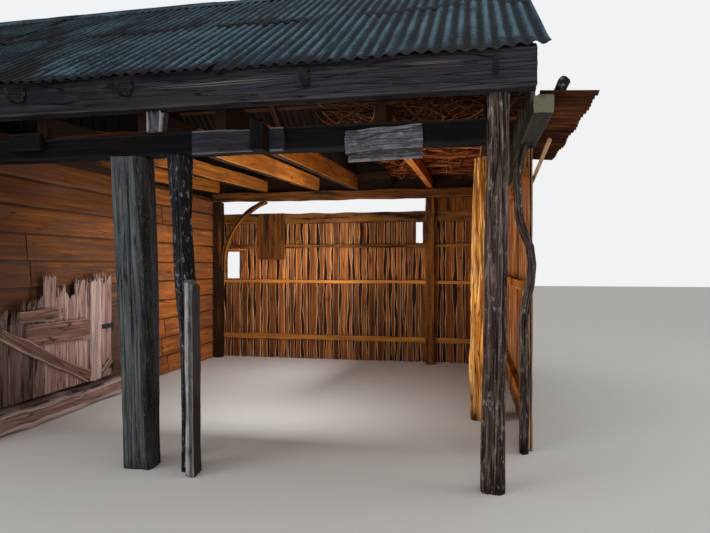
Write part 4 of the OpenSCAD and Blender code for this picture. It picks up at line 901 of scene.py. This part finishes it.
def addLappedWall(piece, start, along, length, height, seed, joints=None, hole=None, clean=None):
    # start is the inside face's lower corner; along x up points outwards
    start, along = np.array(start, float), np.array(along, float)
    outward = np.cross(along, up)
    draw = np.random.default_rng(seed)
    body = hut["wall"] - hut["lap"]
    lean = math.atan(hut["lap"] / hut["boardH"])
    rise = up * math.cos(lean) - outward * math.sin(lean)
    rows = int(height // hut["boardH"])

    def spans(low, margin):  # a row is broken by the doorway as far up as that goes
        return [(0, hole[0]), (hole[1], length)] if hole and low < hole[2] - margin else [(0, length)]

    for row in range(rows):
        low = row * hut["boardH"]
        wide = hut["boardH"] + (lapped["over"] if row < rows - 1 else min(height - rows * hut["boardH"], 0.05))
        depth = body + hut["lap"] * (1 - (wide / 2) / hut["boardH"]) - lapped["thick"] / 2
        for at, finish in spans(low, 0.05):
            fixed = list((joints or {}).get(row, []))
            while at < finish - 0.01:
                end = fixed.pop(0) if fixed else at + draw.uniform(1.5, 3.4)
                if finish - end < 0.5:
                    end = finish
                fade = toneRun = None
                if clean:  # painted light and shade: deep in the bay the damp fades and the boards brighten as painted light, towards the front they stay grey and darken as painted shade
                    fade = [v - at for v in clean]
                    toneRun = ([v - at for v in (0, 0.5, 1.2) + clean],
                               [-0.4 - 0.3 * (row > 5), -0.15 - 0.25 * (row > 6), 0, 0.1, 0.6])
                origin = start + along * at + up * (low + wide / 2) + outward * depth
                addTimber(piece, axes(origin, along, rise), (end - at - 0.008, wide, lapped["thick"]),
                          int(draw.integers(1, 99999)), step=0.10, cuts=(5, 1), rough=0.0016, wane=0.004, round=0.003,
                          ends=0.003, bow=draw.uniform(-0.003, 0.003), damp=max(0, 1.7 - 0.2 * row), fade=fade,
                          # lap also paints the shadow under each lap, in the cut-end colour
                          toneRun=toneRun, lap=(lapped["over"] + 0.007) / wide,
                          # painted shade: lower rows get a slightly darker tone, and the partition's top rows a much
                          # darker one as the beam's shadow
                          tone=draw.uniform(0.2, 0.4) + (0.03 * row if row < 8 or not clean else -0.45))
                at = end
    # top plate over the studs, and the flat lining
    addTimber(piece, axes(start + up * (height - 0.035) + outward * (body / 2 + 0.004), along, up),
              (length, 0.07, body - 0.01), seed + 5, step=0.2, cuts=(1, 1), tone=0.3)
    for row in range(math.ceil((height - 0.02) / lapped["liningH"])):
        low = row * lapped["liningH"]
        wide = min(lapped["liningH"], height - low)
        for begin, finish in spans(low, 0.02):
            origin = start + along * begin + up * (low + wide / 2) + outward * lapped["lining"] / 2
            addTimber(piece, axes(origin, along, up), (finish - begin, wide - 0.003, lapped["lining"]), seed + 20 + row,
                      step=0.25, cuts=(2, 1), tone=draw.uniform(0.1, 0.7))


doorway = [((-3.045, -0.42, 0), (-2.966, -0.4, 1.80), 2, 163), ((-3.045, 0.4, 0), (-2.966, 0.42, 1.80), 2, 163),
           ((-3.045, -0.4, 1.78), (-2.966, 0.4, 1.82), 1, 164)]
for name, material, node, wall, look, boxes in (
        ("inner_wall_boards", brownBoard, "partition_wall", ((-0.80, -1.93, 0), back, 3.90, 2.095, 131), dict(
            joints={6: [0.609, 2.9], 5: [0.651, 3.2], 4: [0.651, 2.4], 7: [2.2], 8: [2.6], 3: [1.9]},
            clean=(1.7, 2.7)), ()),
        ("store_front_boards", weatheredBoard, "store_front", ((-3.05, -1.97, 0), right, 2.25, 2.135, 141), {}, ()),
        ("store_rear_boards", weatheredBoard, "store_rear", ((-0.70, 1.97, 0), -right, 2.35, 2.165, 151), {}, ()),
        ("store_end_boards", weatheredBoard, "store_end", ((-2.95, 1.97, 0), -back, 3.94, 2.095, 161), dict(
            hole=(1.57, 2.37, 1.78)), doorway)):
    piece = newPiece()
    addLappedWall(piece, *wall, **look)
    for box in boxes:
        addBoxTimber(piece, *box, cuts=(1, 1), tone=0.2)
    finishPiece(piece, name, material, node)

# store door: five upright boards on three ledges, nailed
door = {"x": -3.005, "from": -0.4, "step": 0.16, "tall": 1.77, "ledges": (0.14, 0.483, 0.826)}
storeDoor = newPiece()
for i in range(5):
    addTimber(storeDoor, axes((door["x"], door["from"] + door["step"] * (i + 0.5), 0.01), up, back),
              (door["tall"], door["step"] - 0.004, 0.028), 171 + i, step=0.12, wane=0.002)
for i, share in enumerate(door["ledges"]):
    z = share * 1.78
    addBoxTimber(storeDoor, (-3.048, -0.37, z), (-3.02, 0.37, z + 0.11), 1, 178 + i, cuts=(2, 1), tone=0.3)
    for y in (-0.30, -0.15, 0.0, 0.15, 0.30):
        addTube(storeDoor, [(-3.047, y, z + 0.055), (-3.050, y, z + 0.055)], [0.006, 0.004], i, tone=0.0)
finishPiece(storeDoor, "store_door_boards", weatheredBoard, "store_door")
print("lapped walls are boarded")

# back wall and right side: upright waney slabs


def addSlabs(piece, start, along, length, face, thick, top, seed, widths, toneRun, gaps=(), raggedTop=0.02, wane=0.011,
             space=0.010):
    # two staggered layers: the outer slabs run from middle to middle of the inner ones, so each joint is covered
    draw = np.random.default_rng(seed)
    indoors = 0 if np.dot(np.cross(up, along), face) > 0 else 2
    inner, at = [], 0.0
    while at < length - 0.02:
        wide = min(draw.uniform(*widths), length - at)
        if length - at - wide < widths[0]:
            wide = length - at
        inner.append((at, at + wide))
        at += wide + draw.uniform(0.25, 1) * space
    cuts = [0.0] + [(a + b) / 2 for a, b in inner[1:-1]] + [length]
    outer = [(a + 0.0005, b - 0.0005) for a, b in zip(cuts, cuts[1:])]

    def addSlab(begin, end, below, above, depth, **look):
        origin = np.array(start) + along * (begin + end) / 2 + up * below + face * thick * depth
        addTimber(piece, axes(origin, up, along), (above - below, end - begin, thick * 0.46),
                  int(draw.integers(1, 99999)), **look)

    for layer, depth, spans in ((0, 0.27, inner), (1, 0.745, outer)):
        for begin, end in spans:
            runs = [(0.0, top - draw.uniform(0, raggedTop) * (1 - 0.5 * layer))]
            for left, far, low, high in gaps:
                if begin < far and end > left:
                    runs = [(0.0, low), (high, runs[0][1])]
                    for a, b in ((begin, left), (far, end)):
                        if b - a > 0.006:  # the slab is cut away only where the gap is
                            addSlab(a, b, low - 0.01, high + 0.01, depth, step=0.06, cuts=(3, 1), rough=0.001,
                                    round=0.003, tone=0.2, damp=0.7)
            tone = draw.uniform(0.15, 0.75)
            for below, above in runs:
                if above - below >= 0.05:
                    # painted shade: the outer layer's inward face, seen between the inner slabs, is darkened to near
                    # black
                    addSlab(begin, end, below, above, depth, step=0.05, cuts=(5, 1), wane=wane * (layer == 0),
                            rough=0.002, ends=0.008, tone=tone, damp=0.3 * layer,
                            faceDamp={indoors: 2.4} if layer else {},
                            toneRun=([v - below for v in toneRun[0]], toneRun[1]) if layer == 0 else None)


backBoards, sideSlabs = newPiece(), newPiece()
sideFrom = cadNode["side_slabs"][0][1]
# gaps: left, right, foot and top of each opening in the back wall
addSlabs(backBoards, (-0.70, 2.09, 0), right, 3.74, back, 0.025, 1.88, 181, (0.042, 0.125),
         ([0, 0.95, 1.02, 1.2, 1.42, 1.48, 1.9], [-0.25, -0.15, 0.3, 0.45, 0.3, 0.0, -0.05]),
         gaps=[(0.13, 0.305, 1.045, 1.395), (2.66, 2.745, 1.50, 1.755)], wane=0.012, space=0.013)
finishPiece(backBoards, "back_wall_slabs", waneySlab, "back_boards")
addSlabs(sideSlabs, (3.01, sideFrom, 0), back, 2.09 - sideFrom, right, 0.030, 2.0, 191, (0.12, 0.22),
         ([0, 0.8, 2.0], [0.0, 0.65, 0.65]), raggedTop=0.01)
finishPiece(sideSlabs, "right_side_slabs", waneySlab, "side_slabs")

boxPiece("back_wall_rails", drySoftwood, "back_rails", "inside_timber", [
    ((-0.70, 2.05, low), (3.01, 2.09, low + tall), 0, 201 + i, dict(tone=tone, damp=damp))
    for i, (low, tall, tone, damp) in enumerate(((0.25, 0.07, 0.3, 0.3), (0.985, 0.045, 0.8, 0.1),
                                                 (1.44, 0.045, 0.5, 0.8), (1.755, 0.14, 0.2, 0.9)))],
    cuts=(1, 3), wane=0.004, rough=0.002, round=0.005)
boxPiece("right_side_rails", drySoftwood, "side_rails", "inside_timber", [
    ((2.96, sideFrom, low), (3.01, 1.93, low + 0.07), 1, 211 + i, {}) for i, low in enumerate((0.28, 1.05, 1.79))],
    step=0.1, cuts=(2, 2), wane=0.004, rough=0.002, tone=0.5)

patches = [((-0.10, 2.028, 1.29), (0.255, 2.05, 1.895), 2, 215, dict(step=0.05, cuts=(8, 1), wane=0.003, tone=0.15,
                                                                     damp=0.9))]
draw, x = np.random.default_rng(218), 2.09
while x < 3.0:
    wide = min(draw.uniform(0.12, 0.2), 3.01 - x)
    y, top = 2.055 + 0.003 * (int(x * 50) % 2), 2.165 - draw.uniform(0, 0.02)
    patches.append(((x, y, 1.878), (min(x + wide + 0.006, 3.01), y + 0.015, top), 2, int(draw.integers(1, 999)),
                    dict(step=0.06, tone=draw.uniform(0.0, 0.3), damp=0.7)))
    x += wide
patches.append(((-0.53, 1.985, 1.415), (-0.25, 2.05, 1.435), 0, 216, dict(step=0.04, cuts=(2, 1), tone=1.0)))
boxPiece("patched_boards", drySoftwood, "patch_boards", "inside_timber", patches)
print("back and right side are slabbed")

# right side strip: sheet with corrugations across the wall, and what lies on it
strip, sideLog, sidePole, poles, beamTwigs = (newPiece() for i in range(5))
slant = 0.07
stripAt = np.array([3.29, cadNode["side_strip"][0][1], 2.079])
addSheet(strip, (stripAt, np.array([-math.cos(slant), 0, math.sin(slant)]), back, up), 0.298, 1.90, 225, 0.007, 0.9)
finishPiece(strip, "side_sheet_strip", litStripSheet, "side_strip", sharp=60)

low, high = cadNode["side_log"]
middle = (low + high) / 2
addTube(sideLog, [(middle[0] + 0.006 * math.sin(k * 0.5), y, middle[2] + 0.004 * math.sin(k * 0.8))
                  for k, y in enumerate(np.linspace(low[1], high[1], 26))], [0.031, 0.029, 0.027], 226, sides=20,
        tone=0.3, rough=0.002)
finishPiece(sideLog, "strip_log", oldPost, "side_log")

low, high = cadNode["side_pole"]
size = high - low
addTube(sidePole, [((low[0] + high[0]) / 2, low[1] + size[1] * s, high[2] - 0.012 - (size[2] - 0.024) * s)
                   for s in np.linspace(0, 1, 20)], [0.012, 0.010], 228, sides=12, tone=0.8, rough=0.0008)
finishPiece(sidePole, "slim_side_pole", peeledPole, "side_pole")

# five poles over the joists, and dry brush laid over them, thick enough to hide the sheets above it
brush = {"count": 760, "from": (1.80, -1.88), "to": (2.86, 1.80), "thick": (0.0025, 0.0085), "branches": 14,
         "twigs": 46, "poles": ((-1.35, 1.03), (-0.82, 0.90), (-0.33, 1.04), (0.26, 0.96), (0.90, 1.00))}
draw = np.random.default_rng(229)
for i, (y, reach) in enumerate(brush["poles"]):
    z = joistLow(y) + 0.12 + 0.0205
    addTube(poles, [(1.90 + reach * s, y + 0.008 * math.sin(4 * s + i), z + 0.002 * math.sin(9 * s))
                    for s in np.linspace(0, 1, 16)], [0.020, 0.018], 230 + i, sides=12, tone=0.6, rough=0.001)
for i in range(brush["count"]):
    x0, y0 = (draw.uniform(brush["from"][k], brush["to"][k]) for k in (0, 1))
    turn = draw.normal(0, 0.35) + (math.pi / 2 if i % 3 else 0) + (math.pi if i % 2 else 0)
    reach = draw.uniform(0.3, 0.9)
    z0 = joistLow(y0) + 0.122 + draw.uniform(0.0, 0.05) + (0.07 if i % 4 == 0 else 0)
    curl = draw.uniform(-0.05, 0.05, 3)
    path = []
    for s in np.linspace(0, 1, 7):
        x = min(max(x0 + reach * s * math.cos(turn) + curl[0] * math.sin(4 * s), 1.72), 2.95)
        y = min(max(y0 + reach * s * math.sin(turn) + curl[1] * math.sin(5 * s), -1.92), 1.9)
        path.append((x, y, z0 + curl[2] * 0.6 * math.sin(3 * s) + joistRise * (y - y0)))
    shade = min(1, max(0, (-1.0 - y0) / 0.7))  # darker towards the front
    addTube(poles, path, [draw.uniform(*brush["thick"]), 0.0012], i, sides=5,
            tone=draw.uniform(0, 1) * (1 - 0.75 * shade) - 0.1 * shade)
# thicker branches among it, brighter where their bark is off
for i in range(brush["branches"]):
    x0, y0, reach = draw.uniform(1.80, 2.25), draw.uniform(-1.45, 0.5), draw.uniform(0.45, 0.75)
    turn = draw.normal(0.2, 0.4)
    path = []
    for s in np.linspace(0, 1, 9):
        y = y0 + reach * s * math.sin(turn) + 0.03 * math.sin(5 * s + i)
        z = joistLow(y) + 0.126 + 0.012 * math.sin(4 * s + 2 * i)
        path.append((min(x0 + reach * s * math.cos(turn), 2.93), y, z))
    addTube(poles, path, [draw.uniform(0.008, 0.013), 0.005], 700 + i, sides=8, tone=draw.uniform(0.8, 1.1),
            rough=0.001)
finishPiece(poles, "poles_and_brush", dryBrush, "brush_poles")

# a few dead twigs left lying along the top of the front beam
for i in range(brush["twigs"]):
    x0, reach = draw.uniform(0.02, 0.72), draw.uniform(0.12, 0.42)
    y0, drift, lift = draw.uniform(-2.035, -1.955), draw.uniform(-0.02, 0.02), draw.uniform(0.003, 0.030)
    addTube(beamTwigs, [(x0 + reach * s, min(max(y0 + drift * s, -2.045), -1.945),
                         2.006 + lift * (1 + math.sin(3 * s + i)) * 0.5) for s in np.linspace(0, 1, 6)],
            [draw.uniform(0.002, 0.0045), 0.0012], 900 + i, sides=5, tone=draw.uniform(-0.05, 0.2))
finishPiece(beamTwigs, "beam_top_twigs", dryBrush)
print("right side strip, poles and brush are laid")

# half gate: rotted upright boards on a ledge, a brace and a worn stile; each board's height, tone and damp
leafPart = {"hinge": (-0.638, -0.35, 0.202), "length": 1.37, "boardT": 0.024, "ledgeT": 0.028, "boards": (
    (0.728, 0.2, 0.75), (0.708, 0.35, 0.85), (0.783, 0.55, 0.9), (0.828, 0.7, 0.6), (0.953, 1.0, 0.1), (0.888, 0.75, 0),
    (0.828, 0.65, 0), (0.938, 0.7, 0), (0.928, 0.55, 0), (0.968, 0.6, 0), (0.978, 0.45, 0))}
gateBoards, gateFrame = newPiece(), newPiece()


def brokenTop(height, seed, depth, width):  # rotted top of a board: a few tall splinters with notches between
    noise = makeNoise(seed, waves=8)

    def reach(v):
        broad = noise(np.stack([v * 0, v / width * 5.5, v * 0 + seed], -1))
        fine = noise(np.stack([v * 0 + 4, v / width * 14, v * 0], -1))
        return height - depth * np.clip(np.abs(broad) + 0.35 * np.abs(fine), 0, 1)
    return reach


def leaf(y, z, x=(leafPart["boardT"] + leafPart["ledgeT"]) / 2):  # a place on the leaf, from its hinge line's foot
    return np.array(leafPart["hinge"]) + (x, y, z)


boardStep = (leafPart["length"] - 0.02) / 11
for i, (top, tone, damp) in enumerate(leafPart["boards"]):
    addTimber(gateBoards, axes(leaf(boardStep * (i + 0.5) - leafPart["length"], 0, 0), up, back),
              (top, boardStep - 0.004, leafPart["boardT"] - 0.002), 240 + i, step=0.022, cuts=(16, 1), rough=0.0022,
              wane=0.004, ends=0.006, tone=tone, damp=damp, edgeWear=0.8,
              reach=brokenTop(top, 250 + i, 0.13 if i not in (4, 9) else 0.08, boardStep))
finishPiece(gateBoards, "gate_leaf_boards", rottedBoard, "gate_boards", gate)
# ledge, the odd short ledge over it, brace, stile and the short strut at its foot
for start, along, across, size, seed, look in (
        (leaf(-1.099, 0.4795), (0, 0.74, -0.018), up, (0, 0.190, 0.024), 261, dict(
            cuts=(2, 8), rough=0.002, round=0.005, ends=0.006, tone=0.7, edgeWear=0.4)),
        (leaf(-1.169, 0.635), (0, 0.42, -0.005), up, (0.42, 0.098, 0.024), 262, dict(
            cuts=(2, 5), rough=0.002, ends=0.006, tone=0.5, edgeWear=0.4)),
        (leaf(-1.34, 0.533), (0, 0.965, -0.4855), up, (0, 0.112, 0.030), 263, dict(
            cuts=(3, 5), wane=0.010, rough=0.003, round=0.010, tone=0.35, edgeWear=0.5)),
        (leaf(-0.28, 0.0), up, back, (0.925, 0.148, 0.034), 264, dict(
            step=0.02, cuts=(8, 3), wane=0.012, rough=0.004, round=0.016, ends=0.012, tone=1.0,
            reach=brokenTop(0.925, 265, 0.05, 0.15), faceWear=0.6)),
        (leaf(-0.205, 0.045), (0, 0.155, 0.105), up, (0.185, 0.062, 0.024), 266, dict(
            step=0.02, cuts=(2, 4), rough=0.003, round=0.008, tone=0.8, edgeWear=0.6))):
    addTimber(gateFrame, axes(start, along, across), (size[0] or math.hypot(*along), *size[1:]), seed,
              **{"step": 0.03, "wane": 0.006, "ends": 0.008, **look})
for i in range(12):
    spot = leaf(-1.05 + 0.125 * (i // 2) + 0.01 * (i % 2), 0.412 + 0.105 * (i % 2) - 0.003 * (i // 2)) + right * 0.0125
    addTube(gateFrame, [spot, spot + right * 0.002], [0.007, 0.005], i, tone=0.0)
finishPiece(gateFrame, "gate_ledge_and_brace", ledgeWood, "gate_frame", gate)
print("gate is hung")

# the strap hinges and pins keep their CAD shape, in iron
for nodeName in ("gate_straps", "gate_pintles"):
    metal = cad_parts[nodeName]
    metal.data.materials.clear()
    metal.data.materials.append(wroughtIron)
    layer = metal.data.attributes.new("grain", "FLOAT_VECTOR", "POINT")
    spots = np.array([v.co[:] for v in metal.data.vertices], dtype=np.float32)
    layer.data.foreach_set("vector", spots.ravel())
